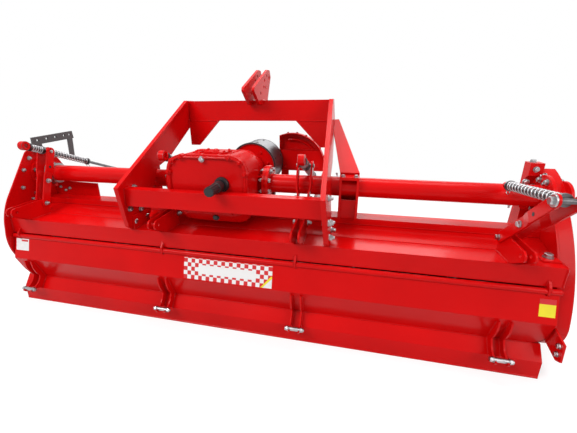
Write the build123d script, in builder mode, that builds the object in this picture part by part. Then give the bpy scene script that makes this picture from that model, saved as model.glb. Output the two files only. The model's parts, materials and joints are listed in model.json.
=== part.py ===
from build123d import *
import os
from math import asin, atan2, cos, degrees, hypot, radians, sin, sqrt

# A tractor-mounted rotary tiller, working width 2.6 m, standing as it parks.
# +Y points forward to the tractor, +X to the machine's right, +Z up, floor at Z = 0.

# Overall reach
half_width = 1340
end_reach = 72
half_reach = half_width + end_reach
front_reach = 518
plate_thickness = 8
sheet = 5
weld_gap = 0.3

# Rotor and its blades
rotor_y = -45
blade_radius = 245
rotor_tube_radius = 45
rotor_tube_wall = 8
rotor_plug_length = 60
rotor_flange_radius = 92
rotor_flange_thickness = 10
rotor_flange_count = 12
rotor_flange_margin = 105
blades_per_flange = 6
blade_thickness = 8
blade_width = 52
blade_tip_reach = 62
blade_tip_angle = 15
blade_first_angle = 15
rotor_z = blade_radius * cos(radians(blade_first_angle - blade_tip_angle / 2))
stub_axle_radius = 32
rotor_end_gap = 12

# Hood and its two long beams
hood_radius = 290
hood_front_angle = 12
hood_lip = 48
rear_beam_rear = -310
rear_beam_depth = 122
rear_beam_top = 498
rear_beam_height = 84
beam_wall = 6
mid_beam_depth = 90
mid_beam_height = 28

# Cross tubes, gearbox and shafts
tube_y = -45
tube_z = 708
tube_radius = 47.5
tube_wall = 7
tube_flange_radius = 92
tube_flange_thickness = 16
tube_ring_width = 54
tube_ring_end_gap = 56
tube_ring_inner = half_width - tube_ring_end_gap - tube_ring_width
tube_ring_radius = 60
gearbox_x = -131
gearbox_half_width = 195
gearbox_rear = -262
gearbox_waist = -60
nose_start = 60
gearbox_front = 160
nose_radius = 70
gearbox_top = 876
front_block_top = 815
gearbox_bottom = 604
gearbox_corner = 78
neck_radius = 49
left_neck_length = 95
right_neck_length = 40
cover_thickness = 20
cover_rim = 14
hitch_x = -55
shaft_z = 748
shaft_radius = 21
stub_radius = 20
stub_end = -418
input_end = 345
spline_radius = 17.4
spline_length = 80
shaft_fit = 0.05

# Clutch drum on the input shaft and the arched guard in front of it
drum_rear = 176
drum_front = 385
drum_radius = 139
drum_wall = 8
drum_disc_thickness = 8
drum_disc_inset = 10
guard_x = 140
guard_left = 60
guard_radius = 212
guard_z = 715
guard_rear = 392
guard_front = 448
guard_bottom = 691

# Three-point hitch
hitch_foot_half = 502
hitch_top_half = 452
hitch_plate_thickness = 14
hitch_flange_width = 8
top_beam_rear = 283
top_beam_depth = 90
top_beam_top = 1121
top_beam_height = 116
lug_spacing = 58
lug_thickness = 16
link_bore_radius = 12.9
link_y = 452
link_z = 1256
channel_rear = -350
channel_top = 720
channel_height = 84
channel_depth = 50
lower_link_z = 640
lower_link_y = 470
cross_tie_z = 575
cross_tie_size = 30
lower_pin_radius = 14.3
lower_pin_half = 412
lower_pin_free = 88
lower_pin_shank = 17
lower_pin_head = 26
lower_plate_thickness = 16

# Tube saddles
saddle_half = 568
saddle_width = 92
saddle_thickness = 14

# Tailboard
board_end_gap = 8
board_half = half_width - board_end_gap
board_top_y = -318
board_top_z = 392
board_bend_y = -352
board_bend_z = 272
board_notch_y = -302
board_notch_z = 142
board_knee_y = -343
board_knee_z = 82
board_foot_y = -345
flap_inset = 2
flap_half = board_half - flap_inset
board_corner = 50
hinge_y = -318
hinge_z = 399
hinge_rod_radius = 8
hinge_roll_radius = 12
hinge_lug_width = 10
hinge_lug_inset = 42
hinge_lug_end = board_half - hinge_lug_inset
hinge_lug_centres = [-hinge_lug_end, -383, 296, hinge_lug_end]
hinge_side_gap = 1

# Spring brackets on the board and spring rods above
left_catch_inset = 108
right_catch_inset = 182
left_rod_inset = 125
right_rod_inset = 178
catch_centres = [-half_width + left_catch_inset, -381, 307, half_width - right_catch_inset]
rod_centres = [-half_width + left_rod_inset, -371, 305, half_width - right_rod_inset]
s_plate_spacing = 46
s_plate_thickness = 8
s_plate_width = 34
board_pin_y = -392
board_pin_z = 104
board_pin_radius = 9
arm_thickness = 8
arm_foot_spacing = 50
arm_fork_spacing = 66
arm_width = 44
arm_foot_y = -205
arm_foot_z = 564
outer_trunnion = (-111, 849)
inner_trunnion = (-118, 820)
rear_trunnion = (-496, 808)
foot_plate_spacing = 33.4
trunnion_pin_radius = 9
rod_radius = 9
rod_rear = 124
outer_rod_front = 560
inner_rod_front = 480
rod_pitch = -21
low_rod_front = 400
low_rod_pitch = -6.4
rod_eye_radius = 24
rod_eye_bore = 12
rod_eye_width = 30
spring_radius = 20
spring_wall = 5
spring_start = 26
rear_spring_length = 64
front_spring_length = 260
low_spring_length = 330
collar_radius = 22
collar_length = 9

# Left parking stand, stowed
stand_thickness = 12

# Side plates and gear case
gear_case_thickness = 52
end_post_size = 54
end_post_top = 842
end_plate_reach = 328
hub_radius = 95


def left_plate_line():
    """Outline of the left side plate: bowed rear edge, round bottom."""
    Line((20, 854), (-96, 854))
    ThreePointArc((-96, 854), (-119, 851), (-135, 841))
    Line((-135, 841), (-274, 637))
    ThreePointArc((-274, 637), (-323, 550), (-350, 440))
    ThreePointArc((-350, 440), (-345, 300), (-262, 170))
    ThreePointArc((-262, 170), (-60, 108), (110, 150))
    Line((110, 150), (215, 300))
    Line((215, 300), (215, 520))
    Line((215, 520), (20, 854))


def gear_case_line():
    """Outline of the right side: one long arc behind, a round nose in front."""
    ThreePointArc((40, 814), (-42, 765), (-105, 691))
    ThreePointArc((-105, 691), (-247, 479), (-317, 240))
    ThreePointArc((-317, 240), (-270, 125), (-150, 96))
    Line((-150, 96), (70, 96))
    ThreePointArc((70, 96), (190, 190), (215, 330))
    Line((215, 330), (190, 600))
    ThreePointArc((190, 600), (140, 760), (40, 814))


pieces = []


def keep(piece, name):
    """Labels a finished piece and lists it for export."""
    piece.label = name
    pieces.append(piece)


# Side plate on the left, with the rotor bearing hub outside it
with BuildPart() as side_plate_left:
    with BuildSketch(Plane.YZ.offset(-half_width - plate_thickness)):
        with BuildLine():
            left_plate_line()
        make_face()
        with Locations((rotor_y, rotor_z)):
            Circle(stub_axle_radius + shaft_fit, mode=Mode.SUBTRACT)
    extrude(amount=plate_thickness)
keep(side_plate_left.part, "side_plate_left")

with BuildPart() as bearing_hub_left:
    with BuildSketch(Plane.YZ.offset(-half_width - plate_thickness)):
        with Locations((rotor_y, rotor_z)):
            Circle(hub_radius)
            Circle(stub_axle_radius + shaft_fit, mode=Mode.SUBTRACT)
    extrude(amount=-26)
    with BuildSketch(Plane.YZ.offset(-half_width - plate_thickness - 26)):
        with Locations((rotor_y, rotor_z)):
            Circle(hub_radius - 25)
    extrude(amount=-(half_reach - half_width - plate_thickness - 26))
keep(bearing_hub_left.part, "bearing_hub_left")

# Side plate on the right and the gear case outside it
with BuildPart() as side_plate_right:
    with BuildSketch(Plane.YZ.offset(half_width)):
        with BuildLine():
            gear_case_line()
        make_face()
        with Locations((rotor_y, rotor_z)):
            Circle(stub_axle_radius + shaft_fit, mode=Mode.SUBTRACT)
    extrude(amount=plate_thickness)
keep(side_plate_right.part, "side_plate_right")

with BuildPart() as gear_case:
    with BuildSketch(Plane.YZ.offset(half_width + plate_thickness)):
        with BuildLine():
            gear_case_line()
        make_face()
        with Locations((rotor_y, rotor_z)):
            Circle(stub_axle_radius + shaft_fit, mode=Mode.SUBTRACT)
    extrude(amount=gear_case_thickness)
    with BuildSketch(Plane.YZ.offset(half_width + plate_thickness + gear_case_thickness)):
        with Locations((rotor_y, rotor_z)):
            Circle(hub_radius)
        with Locations((tube_y, tube_z)):
            Circle(tube_flange_radius * 0.75)
    extrude(amount=half_reach - half_width - plate_thickness - gear_case_thickness)
keep(gear_case.part, "gear_case")

# Curved hood over the rotor, with a folded lip along its front edge
lip_angle = radians(hood_front_angle)
hood_front_y = rotor_y + hood_radius * cos(lip_angle)
hood_front_z = rotor_z + hood_radius * sin(lip_angle)
beam_front_y = rear_beam_rear + rear_beam_depth
rear_beam_bottom = rear_beam_top - rear_beam_height
hood_rear_angle = 180 - degrees(asin((rear_beam_bottom - rotor_z) / hood_radius))
hood_sweep = hood_rear_angle - hood_front_angle
with BuildPart() as hood:
    with BuildSketch(Plane.YZ.offset(-half_width + weld_gap)):
        with BuildLine():
            outer = CenterArc((rotor_y, rotor_z), hood_radius, hood_front_angle, hood_sweep)
            inner = CenterArc((rotor_y, rotor_z), hood_radius - sheet, hood_front_angle, hood_sweep)
            Line(outer @ 0, inner @ 0)
            Line(outer @ 1, inner @ 1)
        make_face()
    extrude(amount=2 * (half_width - weld_gap))
    with Locations((0, hood_front_y + hood_lip / 2 - sheet, hood_front_z + sheet / 2)):
        Box(2 * (half_width - weld_gap), hood_lip, sheet)
keep(hood.part, "hood")


def box_beam(length, depth, height, wall, centre):
    """A hollow rectangular beam along X."""
    with BuildPart() as beam:
        with Locations(centre):
            Box(length, depth, height)
            Box(length, depth - 2 * wall, height - 2 * wall, mode=Mode.SUBTRACT)
    return beam.part


# The rear beam rests on the hood, so the hood's curve is its front lower face
hood_contact = hood_radius + weld_gap
beam_front_z = rotor_z + sqrt(hood_contact**2 - (beam_front_y - rotor_y) ** 2)
beam_low_y = rotor_y - sqrt(hood_contact**2 - (rear_beam_bottom - rotor_z) ** 2)
beam_mid_angle = radians(132)
beam_mid_point = (rotor_y + hood_contact * cos(beam_mid_angle), rotor_z + hood_contact * sin(beam_mid_angle))
with BuildPart() as rear_beam:
    with BuildSketch(Plane.YZ.offset(-half_width)):
        with BuildLine():
            Polyline(
                (beam_low_y, rear_beam_bottom), (rear_beam_rear, rear_beam_bottom),
                (rear_beam_rear, rear_beam_top), (beam_front_y, rear_beam_top), (beam_front_y, beam_front_z),
            )
            ThreePointArc((beam_front_y, beam_front_z), beam_mid_point, (beam_low_y, rear_beam_bottom))
        make_face()
        offset(amount=-beam_wall, mode=Mode.SUBTRACT)
    extrude(amount=2 * half_width)
keep(rear_beam.part, "rear_beam")

mid_beam_bottom = rotor_z + hood_radius + weld_gap
mid_beam_top = mid_beam_bottom + mid_beam_height
mid_beam_front = tube_y + mid_beam_depth / 2
mid_beam = box_beam(
    2 * half_width, mid_beam_depth, mid_beam_height, beam_wall,
    (0, tube_y, mid_beam_bottom + mid_beam_height / 2),
)
keep(mid_beam, "mid_beam")


def cross_tube(x_from, x_to):
    """A tube along X with a bolted flange at both ends."""
    with BuildPart() as tube:
        with BuildSketch(Plane.YZ.offset(x_from)):
            with Locations((tube_y, tube_z)):
                Circle(tube_radius)
                Circle(tube_radius - tube_wall, mode=Mode.SUBTRACT)
        extrude(amount=x_to - x_from)
        for x_face in (x_from, x_to - tube_flange_thickness):
            with BuildSketch(Plane.YZ.offset(x_face)):
                with Locations((tube_y, tube_z)):
                    Circle(tube_flange_radius)
                    Circle(tube_radius - tube_wall, mode=Mode.SUBTRACT)
            extrude(amount=tube_flange_thickness)
    return tube.part


gearbox_left = gearbox_x - gearbox_half_width - left_neck_length
gearbox_right = gearbox_x + gearbox_half_width + right_neck_length
keep(cross_tube(-half_width, gearbox_left), "cross_tube_left")
keep(cross_tube(gearbox_right, half_width), "cross_tube_right")

with BuildPart() as tube_ring:
    with BuildSketch(Plane.YZ.offset(-tube_ring_inner - tube_ring_width)):
        with Locations((tube_y, tube_z)):
            Circle(tube_ring_radius)
            Circle(tube_radius, mode=Mode.SUBTRACT)
    extrude(amount=tube_ring_width)
keep(tube_ring.part, "tube_end_ring")

# End post beside the gear case and end plate under the left tube
with BuildPart() as end_post:
    post_x = half_width - weld_gap - end_post_size / 2
    with Locations((post_x, end_post_size / 2 + 3, (mid_beam_top + end_post_top) / 2)):
        Box(end_post_size, end_post_size, end_post_top - mid_beam_top)
    with BuildSketch(Plane.YZ.offset(post_x - end_post_size / 2 - 1)):
        with Locations((tube_y, tube_z)):
            Circle(tube_flange_radius + weld_gap)
    extrude(amount=end_post_size + 2, mode=Mode.SUBTRACT)
keep(end_post.part, "end_post_right")

with BuildPart() as end_plate:
    plate_end = -half_width + weld_gap
    with BuildSketch(Plane.XZ.offset(-mid_beam_front - weld_gap)):
        with BuildLine():
            Polyline(
                (plate_end, mid_beam_bottom), (plate_end, 608), (plate_end + 22, 608), (plate_end + 28, 648),
                (plate_end + end_plate_reach, 640), (plate_end + end_plate_reach, mid_beam_bottom),
                close=True,
            )
        make_face()
    extrude(amount=-6)
keep(end_plate.part, "end_plate_left")

# Gearbox housing with a neck to each tube, and its flat rear cover
gearbox_height = gearbox_top - gearbox_bottom
gearbox_mid = (gearbox_top + gearbox_bottom) / 2
with BuildPart() as gearbox:
    with BuildSketch(Plane.XZ.offset(-gearbox_rear)):
        with Locations((gearbox_x, gearbox_mid)):
            RectangleRounded(2 * gearbox_half_width, gearbox_height, gearbox_corner)
    extrude(amount=-(gearbox_waist - gearbox_rear))
    with BuildSketch(Plane.XZ.offset(-gearbox_waist)):
        with Locations((gearbox_x, (front_block_top + gearbox_bottom) / 2)):
            RectangleRounded(2 * gearbox_half_width - 70, front_block_top - gearbox_bottom, gearbox_corner - 18)
    extrude(amount=-(nose_start - gearbox_waist))
    with BuildSketch(Plane.XZ.offset(-nose_start)):
        with Locations((hitch_x, shaft_z)):
            Circle(nose_radius)
    extrude(amount=-(gearbox_front - nose_start))
    with BuildSketch(Plane.YZ.offset(gearbox_left)):
        with Locations((tube_y, tube_z)):
            Circle(neck_radius)
    extrude(amount=gearbox_right - gearbox_left)
    with BuildSketch(Plane.XZ.offset(-gearbox_rear)):
        with Locations((hitch_x, shaft_z)):
            Circle(shaft_radius + shaft_fit)
    extrude(amount=-(gearbox_front - gearbox_rear), mode=Mode.SUBTRACT)
keep(gearbox.part, "gearbox")

with BuildPart() as gearbox_cover:
    with BuildSketch(Plane.XZ.offset(-gearbox_rear)):
        with Locations((gearbox_x, gearbox_mid)):
            RectangleRounded(2 * gearbox_half_width + 8, gearbox_height + 8, gearbox_corner + 4)
        with Locations((hitch_x, shaft_z)):
            Circle(shaft_radius + shaft_fit, mode=Mode.SUBTRACT)
    extrude(amount=cover_thickness)
    with BuildSketch(Plane.XZ.offset(-gearbox_rear + cover_thickness)):
        with Locations((gearbox_x, gearbox_mid)):
            RectangleRounded(
                2 * (gearbox_half_width - cover_rim), gearbox_height - 2 * cover_rim, gearbox_corner - cover_rim
            )
    extrude(amount=-6, mode=Mode.SUBTRACT)
keep(gearbox_cover.part, "gearbox_cover")

# Through shaft: bare stub behind, input end inside the drum
stub_base = gearbox_rear - cover_thickness - 4
with BuildPart() as input_shaft:
    with BuildSketch(Plane.XZ.offset(-stub_end)):
        with Locations((hitch_x, shaft_z)):
            Circle(stub_radius)
    extrude(amount=-(stub_base - stub_end))
    with BuildSketch(Plane.XZ.offset(-stub_base)):
        with Locations((hitch_x, shaft_z)):
            Circle(shaft_radius)
    extrude(amount=-(input_end - spline_length - stub_base))
    with BuildSketch(Plane.XZ.offset(-input_end)):
        with Locations((hitch_x, shaft_z)):
            Circle(spline_radius)
    extrude(amount=spline_length)
keep(input_shaft.part, "input_shaft")

with BuildPart() as drum:
    with BuildSketch(Plane.XZ.offset(-drum_rear)):
        with Locations((hitch_x, shaft_z)):
            Circle(drum_radius)
            Circle(drum_radius - drum_wall, mode=Mode.SUBTRACT)
    extrude(amount=-(drum_front - drum_rear))
keep(drum.part, "input_drum")

with BuildPart() as drum_disc:
    with BuildSketch(Plane.XZ.offset(-drum_rear - drum_disc_inset)):
        with Locations((hitch_x, shaft_z)):
            Circle(drum_radius - drum_wall)
            Circle(shaft_radius + 12, mode=Mode.SUBTRACT)
    extrude(amount=-drum_disc_thickness)
    with BuildSketch(Plane.XZ.offset(-gearbox_front)):
        with Locations((hitch_x, shaft_z)):
            Circle(nose_radius)
            Circle(shaft_radius + 12, mode=Mode.SUBTRACT)
    extrude(amount=-(drum_rear + drum_disc_inset - gearbox_front))
keep(drum_disc.part, "drum_disc")


def guard_line(shrink):
    """Arch with upright sides. Shrink draws the inner line."""
    radius = guard_radius - shrink
    left = guard_left + shrink
    left_top = guard_z + sqrt(radius**2 - (guard_x - left) ** 2)
    right = guard_x + radius
    ThreePointArc((left, left_top), (guard_x, guard_z + radius), (right, guard_z))
    Line((right, guard_z), (right, guard_bottom + shrink))
    Line((right, guard_bottom + shrink), (left, guard_bottom + shrink))
    Line((left, guard_bottom + shrink), (left, left_top))


with BuildPart() as arched_guard:
    with BuildSketch(Plane.XZ.offset(-guard_rear)):
        with BuildLine():
            guard_line(0)
        make_face()
    extrude(amount=-(guard_front - guard_rear))
    with BuildSketch(Plane.XZ.offset(-guard_rear)):
        with BuildLine():
            guard_line(sheet)
        make_face()
    extrude(amount=-(guard_front - guard_rear - sheet), mode=Mode.SUBTRACT)
keep(arched_guard.part, "arched_guard")


# Hitch plates: boomerang plates that lean inward towards the top beam
lean_height = top_beam_top - rear_beam_top
lean_angle = degrees(atan2(hitch_foot_half - hitch_top_half, lean_height))


def hitch_plane(side, inset):
    """Plane of a hitch plate's inner face. Local axes are +Y and up the plate."""
    foot = (hitch_x + side * (hitch_foot_half - inset), 0, rear_beam_top)
    normal_x = side * cos(radians(lean_angle))
    normal_z = sin(radians(lean_angle))
    if side > 0:
        return Plane(origin=foot, x_dir=(0, 1, 0), z_dir=(normal_x, 0, normal_z))
    return Plane(origin=foot, x_dir=(0, -1, 0), z_dir=(normal_x, 0, normal_z))


hitch_outline = [
    (top_beam_rear - 28, 628), (top_beam_rear + 68, 628), (top_beam_rear + 68, 500),
    (48, 312), (-74, 277), (-120, 167), (-160, 48), (-192, 2), (-312, 2), (-348, 30), (-398, 238),
]


def hitch_plate(side):
    """One hitch plate with the folded flange along its rear edge."""
    mirror_sign = side
    line = [(mirror_sign * y, z) for y, z in hitch_outline]
    rear_edge = [(top_beam_rear - 28, 628), (-398, 238), (-348, 30)]
    strip = [(y + 14, z - 8) for y, z in reversed(rear_edge)]
    flange = [(mirror_sign * y, z) for y, z in rear_edge + strip]
    with BuildPart() as plate:
        with BuildSketch(hitch_plane(side, 0)):
            with BuildLine():
                Polyline(*line, close=True)
            make_face()
        extrude(amount=-hitch_plate_thickness)
        with BuildSketch(hitch_plane(side, hitch_plate_thickness)):
            with BuildLine():
                Polyline(*flange, close=True)
            make_face()
        extrude(amount=-hitch_flange_width)
    return plate.part


keep(hitch_plate(-1), "hitch_plate_left")
keep(hitch_plate(1), "hitch_plate_right")


def inner_half(z):
    """Distance from the hitch centre to a plate's inner face at height z."""
    share = (z - rear_beam_top) / lean_height
    return hitch_foot_half - share * (hitch_foot_half - hitch_top_half) - hitch_plate_thickness - 2


top_beam_mid = top_beam_top - top_beam_height / 2
top_beam_half = inner_half(top_beam_top)
with BuildPart() as top_beam:
    with Locations((hitch_x, top_beam_rear + top_beam_depth / 2, top_beam_mid)):
        Box(2 * top_beam_half, top_beam_depth, top_beam_height)
        Box(
            2 * top_beam_half, top_beam_depth - 2 * beam_wall, top_beam_height - 2 * beam_wall,
            mode=Mode.SUBTRACT,
        )
keep(top_beam.part, "top_beam")

# Corner gussets under the top beam
gusset_top = top_beam_top - top_beam_height
gusset_half = inner_half(gusset_top)
with BuildPart() as gussets:
    for side in (-1, 1):
        with BuildSketch(Plane.XZ.offset(-top_beam_rear)):
            with BuildLine():
                Polyline(
                    (hitch_x + side * gusset_half, gusset_top),
                    (hitch_x + side * (gusset_half - 205), gusset_top),
                    (hitch_x + side * (gusset_half - 60), gusset_top - 150),
                    (hitch_x + side * (gusset_half - 2), gusset_top - 150),
                    close=True,
                )
            make_face()
        extrude(amount=-10)
keep(gussets.part, "hitch_gussets")

with BuildPart() as top_lugs:
    for side in (-1, 1):
        centre_x = hitch_x + side * lug_spacing / 2
        with BuildSketch(Plane.YZ.offset(centre_x - lug_thickness / 2)) as top_lugs_sketch:
            with BuildLine():
                Polyline(
                    (top_beam_rear, 1096), (top_beam_rear - 47, 1096), (138, 1168), (146, 1186),
                    (425, 1300), (470, 1300), (492, 1262), (410, top_beam_top), (top_beam_rear, top_beam_top),
                    close=True,
                )
            make_face()
            fillet([corner for corner in top_lugs_sketch.vertices() if corner.Y > top_beam_top + 5], 11)
            with Locations((link_y, link_z)):
                Circle(link_bore_radius, mode=Mode.SUBTRACT)
            with Locations((330, 1196), (372, 1196), (352, 1236), (400, 1262), (262, 1160)):
                Circle(9, mode=Mode.SUBTRACT)
        extrude(amount=lug_thickness)
keep(top_lugs.part, "top_link_lugs")

# Rear cross channel between the hitch plates, its lower edge folded forward
channel_half = inner_half(channel_top)
with BuildPart() as rear_channel:
    with Locations((hitch_x, channel_rear + channel_depth / 2, channel_top - channel_height / 2)):
        Box(2 * channel_half, channel_depth, channel_height)
    with Locations((hitch_x, channel_rear + channel_depth / 2 + sheet, channel_top - channel_height / 2)):
        Box(2 * channel_half, channel_depth, channel_height - 2 * sheet, mode=Mode.SUBTRACT)
keep(rear_channel.part, "rear_channel")

# Saddles that clamp the tubes to the mid beam, with braces up to the top beam
with BuildPart() as saddles:
    for side in (-1, 1):
        centre_x = hitch_x + side * saddle_half
        with Locations((centre_x, tube_y, tube_z + tube_radius + saddle_thickness / 2)):
            Box(saddle_width, 150, saddle_thickness)
        for edge in (-1, 1):
            leg_x = centre_x + edge * (saddle_width / 2 - 6)
            with Locations((leg_x, tube_y, (mid_beam_top + tube_z + tube_radius) / 2)):
                Box(12, 150, tube_z + tube_radius - mid_beam_top)
        with BuildSketch(Plane.YZ.offset(centre_x - saddle_width / 2 - 1)):
            with Locations((tube_y, tube_z)):
                Circle(tube_radius + weld_gap)
        extrude(amount=saddle_width + 2, mode=Mode.SUBTRACT)
keep(saddles.part, "tube_saddles")

# Lower link brackets with a cross tie between them
with BuildPart() as lower_brackets:
    for side in (-1, 1):
        plate_x = hitch_x + side * (lower_pin_half - lower_plate_thickness / 2)
        with BuildSketch(Plane.YZ.offset(plate_x - lower_plate_thickness / 2)):
            with BuildLine():
                Polyline(
                    (mid_beam_front, mid_beam_bottom), (mid_beam_front, mid_beam_top),
                    (mid_beam_front - 80, mid_beam_top), (mid_beam_front - 80, 640), (12, 652),
                    (lower_link_y - 60, 690), (front_reach, lower_link_z + 27),
                    (front_reach, lower_link_z - 27), (lower_link_y - 60, mid_beam_bottom),
                    close=True,
                )
            make_face()
            with Locations((lower_link_y, lower_link_z)):
                Circle(lower_pin_shank, mode=Mode.SUBTRACT)
        extrude(amount=lower_plate_thickness)
keep(lower_brackets.part, "lower_link_brackets")

with BuildPart() as lower_pins:
    for side in (-1, 1):
        shoulder = hitch_x + side * lower_pin_half
        for start, radius, length in (
            (shoulder, lower_pin_radius, lower_pin_free),
            (shoulder, lower_pin_shank, -lower_plate_thickness),
            (shoulder - side * lower_plate_thickness, lower_pin_head, -12),
        ):
            with BuildSketch(Plane.YZ.offset(start)):
                with Locations((lower_link_y, lower_link_z)):
                    Circle(radius)
            extrude(amount=side * length)
keep(lower_pins.part, "lower_link_pins")

bracket_inner = lower_pin_half - lower_plate_thickness
with BuildPart() as cross_tie:
    with Locations((hitch_x, (guard_rear + guard_front) / 2, cross_tie_z)):
        Box(2 * (bracket_inner - weld_gap), guard_front - guard_rear, cross_tie_size)
    with Locations((guard_left + 25, guard_front - sheet / 2, (cross_tie_z + guard_bottom) / 2)):
        Box(50, sheet, guard_bottom - cross_tie_z)
keep(cross_tie.part, "lower_cross_tie")

# Feet on the rear beam that the hitch plates bolt to
with BuildPart() as hitch_feet:
    for side in (-1, 1):
        with BuildSketch(hitch_plane(side, hitch_plate_thickness + weld_gap)):
            with Locations((side * (rear_beam_rear + rear_beam_depth / 2), 38)):
                Rectangle(rear_beam_depth, 70)
        extrude(amount=-10)
keep(hitch_feet.part, "hitch_feet")

# Struts: plates from the saddles up to the outer faces of the hitch plates
strut_foot = Vector(hitch_x, tube_y, tube_z + tube_radius + saddle_thickness)
strut_run = Vector(0, top_beam_rear + 10 - tube_y, gusset_top - strut_foot.Z)


def outer_half(share):
    """Half width just outside the hitch plates, at a share of the strut's run."""
    height = strut_foot.Z + share * strut_run.Z - rear_beam_top
    return hitch_foot_half - height / lean_height * (hitch_foot_half - hitch_top_half) + 2 * weld_gap


with BuildPart() as struts:
    strut_plane = Plane(origin=strut_foot, x_dir=(1, 0, 0), z_dir=Vector(1, 0, 0).cross(strut_run))
    for side in (-1, 1):
        with BuildSketch(strut_plane):
            with BuildLine():
                Polyline(
                    (side * (saddle_half - saddle_width / 2), 0), (side * (saddle_half + saddle_width / 2), 0),
                    (side * (outer_half(1) + 26), strut_run.length), (side * outer_half(1), strut_run.length),
                    (side * outer_half(0.72), 0.72 * strut_run.length),
                    close=True,
                )
            make_face()
        extrude(amount=12)
    with Locations((hitch_x, tube_y, tube_z)):
        Box(4 * saddle_half, 300, 2 * (tube_radius + saddle_thickness), mode=Mode.SUBTRACT)
keep(struts.part, "hitch_struts")

rod_names = ["left_outer", "left_inner", "right_inner", "right_outer"]

# Tailboard: upper sheet with a rolled top edge, and the bent floor flap
board_line = [(board_top_y, board_top_z), (board_bend_y, board_bend_z), (board_notch_y, board_notch_z)]
hinge_notch = 2 * hinge_roll_radius + 14
flap_line = [(board_notch_y, board_notch_z), (board_knee_y, board_knee_z), (board_foot_y, 0)]


def bent_sheet(points):
    """Outline of a sheet of the part's gauge bent along points."""
    inner = [(y + sheet, z) for y, z in points]
    Polyline(*points, *reversed(inner), close=True)


with BuildPart() as tailboard:
    with BuildSketch(Plane.YZ.offset(-board_half)):
        with BuildLine():
            bent_sheet(board_line)
        make_face()
        with Locations((hinge_y, hinge_z)):
            Circle(hinge_roll_radius)
            Circle(hinge_rod_radius + shaft_fit, mode=Mode.SUBTRACT)
    extrude(amount=2 * board_half)
    with Locations(*[(centre, hinge_y, hinge_z) for centre in hinge_lug_centres]):
        Box(hinge_lug_width + 2 * hinge_side_gap, hinge_notch, hinge_notch, mode=Mode.SUBTRACT)
    for side in (-1, 1):
        corner_x = side * (board_half - board_corner)
        corner_z = board_notch_z + board_corner
        with BuildSketch(Plane.XZ.offset(-board_bend_y + 10)):
            with Locations((corner_x + side * board_corner, corner_z - board_corner)):
                Rectangle(2 * board_corner, 2 * board_corner)
            with Locations((corner_x, corner_z)):
                Circle(board_corner, mode=Mode.SUBTRACT)
        extrude(amount=-80, mode=Mode.SUBTRACT)
keep(tailboard.part, "tailboard")

with BuildPart() as flap:
    with BuildSketch(Plane.YZ.offset(-flap_half)):
        with BuildLine():
            bent_sheet(flap_line)
        make_face()
    extrude(amount=2 * flap_half)
keep(flap.part, "tailboard_flap")

with BuildPart() as hinge_rod:
    with BuildSketch(Plane.YZ.offset(-board_half - 6)):
        with Locations((hinge_y, hinge_z)):
            Circle(hinge_rod_radius)
    extrude(amount=2 * board_half + 12)
keep(hinge_rod.part, "tailboard_hinge_rod")

with BuildPart() as hinge_lugs:
    for centre in hinge_lug_centres:
        with BuildSketch(Plane.YZ.offset(centre - hinge_lug_width / 2)):
            with BuildLine():
                Polyline(
                    (rear_beam_rear, rear_beam_bottom + 30), (rear_beam_rear, rear_beam_bottom),
                    (rear_beam_rear + 26, rear_beam_bottom), (rear_beam_rear + 6, hinge_z - 12),
                    (hinge_y - 12, hinge_z - 12), (hinge_y - 12, hinge_z + 20),
                    close=True,
                )
            make_face()
            with Locations((hinge_y, hinge_z)):
                Circle(hinge_rod_radius, mode=Mode.SUBTRACT)
        extrude(amount=hinge_lug_width)
keep(hinge_lugs.part, "tailboard_hinge_lugs")

with BuildPart() as s_brackets:
    for centre in catch_centres:
        for edge in (-1, 1):
            with BuildSketch(Plane.YZ.offset(centre + edge * s_plate_spacing / 2 - s_plate_thickness / 2)):
                with BuildLine():
                    top_share = 15 / (board_bend_z - board_notch_z)
                    top = (board_bend_y + top_share * (board_notch_y - board_bend_y), board_bend_z - 15)
                    lip = (top[0] - 16, top[1] + 8)
                    waist = (board_notch_y - s_plate_width, board_notch_z + 20)
                    low = (board_pin_y - 17, board_pin_z)
                    ThreePointArc(lip, (board_bend_y - 8, 218), waist)
                    ThreePointArc(waist, (board_notch_y - 52, 128), low)
                    ThreePointArc(low, (board_pin_y, board_pin_z - 17), (board_pin_y + 17, board_pin_z - 2))
                    Line((board_pin_y + 17, board_pin_z - 2), (board_knee_y, board_knee_z + 6))
                    knee_share = 6 / (board_notch_z - board_knee_z)
                    knee = (board_knee_y + knee_share * (board_notch_y - board_knee_y), board_knee_z + 6)
                    Line((board_knee_y, board_knee_z + 6), knee)
                    Line(knee, (board_notch_y, board_notch_z))
                    Line((board_notch_y, board_notch_z), top)
                    Line(top, lip)
                make_face()
                with Locations((board_pin_y, board_pin_z)):
                    Circle(board_pin_radius, mode=Mode.SUBTRACT)
            extrude(amount=s_plate_thickness)
keep(s_brackets.part, "spring_catch_plates")

with BuildPart() as board_pins:
    for centre in catch_centres:
        with BuildSketch(Plane.YZ.offset(centre - s_plate_spacing / 2 - 20)):
            with Locations((board_pin_y, board_pin_z)):
                Circle(board_pin_radius)
        extrude(amount=s_plate_spacing + 40)
keep(board_pins.part, "spring_catch_pins")


def trunnion_at(index):
    """Pivot of a spring rod. The right outer arm leans back."""
    return [outer_trunnion, inner_trunnion, inner_trunnion, rear_trunnion][index]


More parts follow.
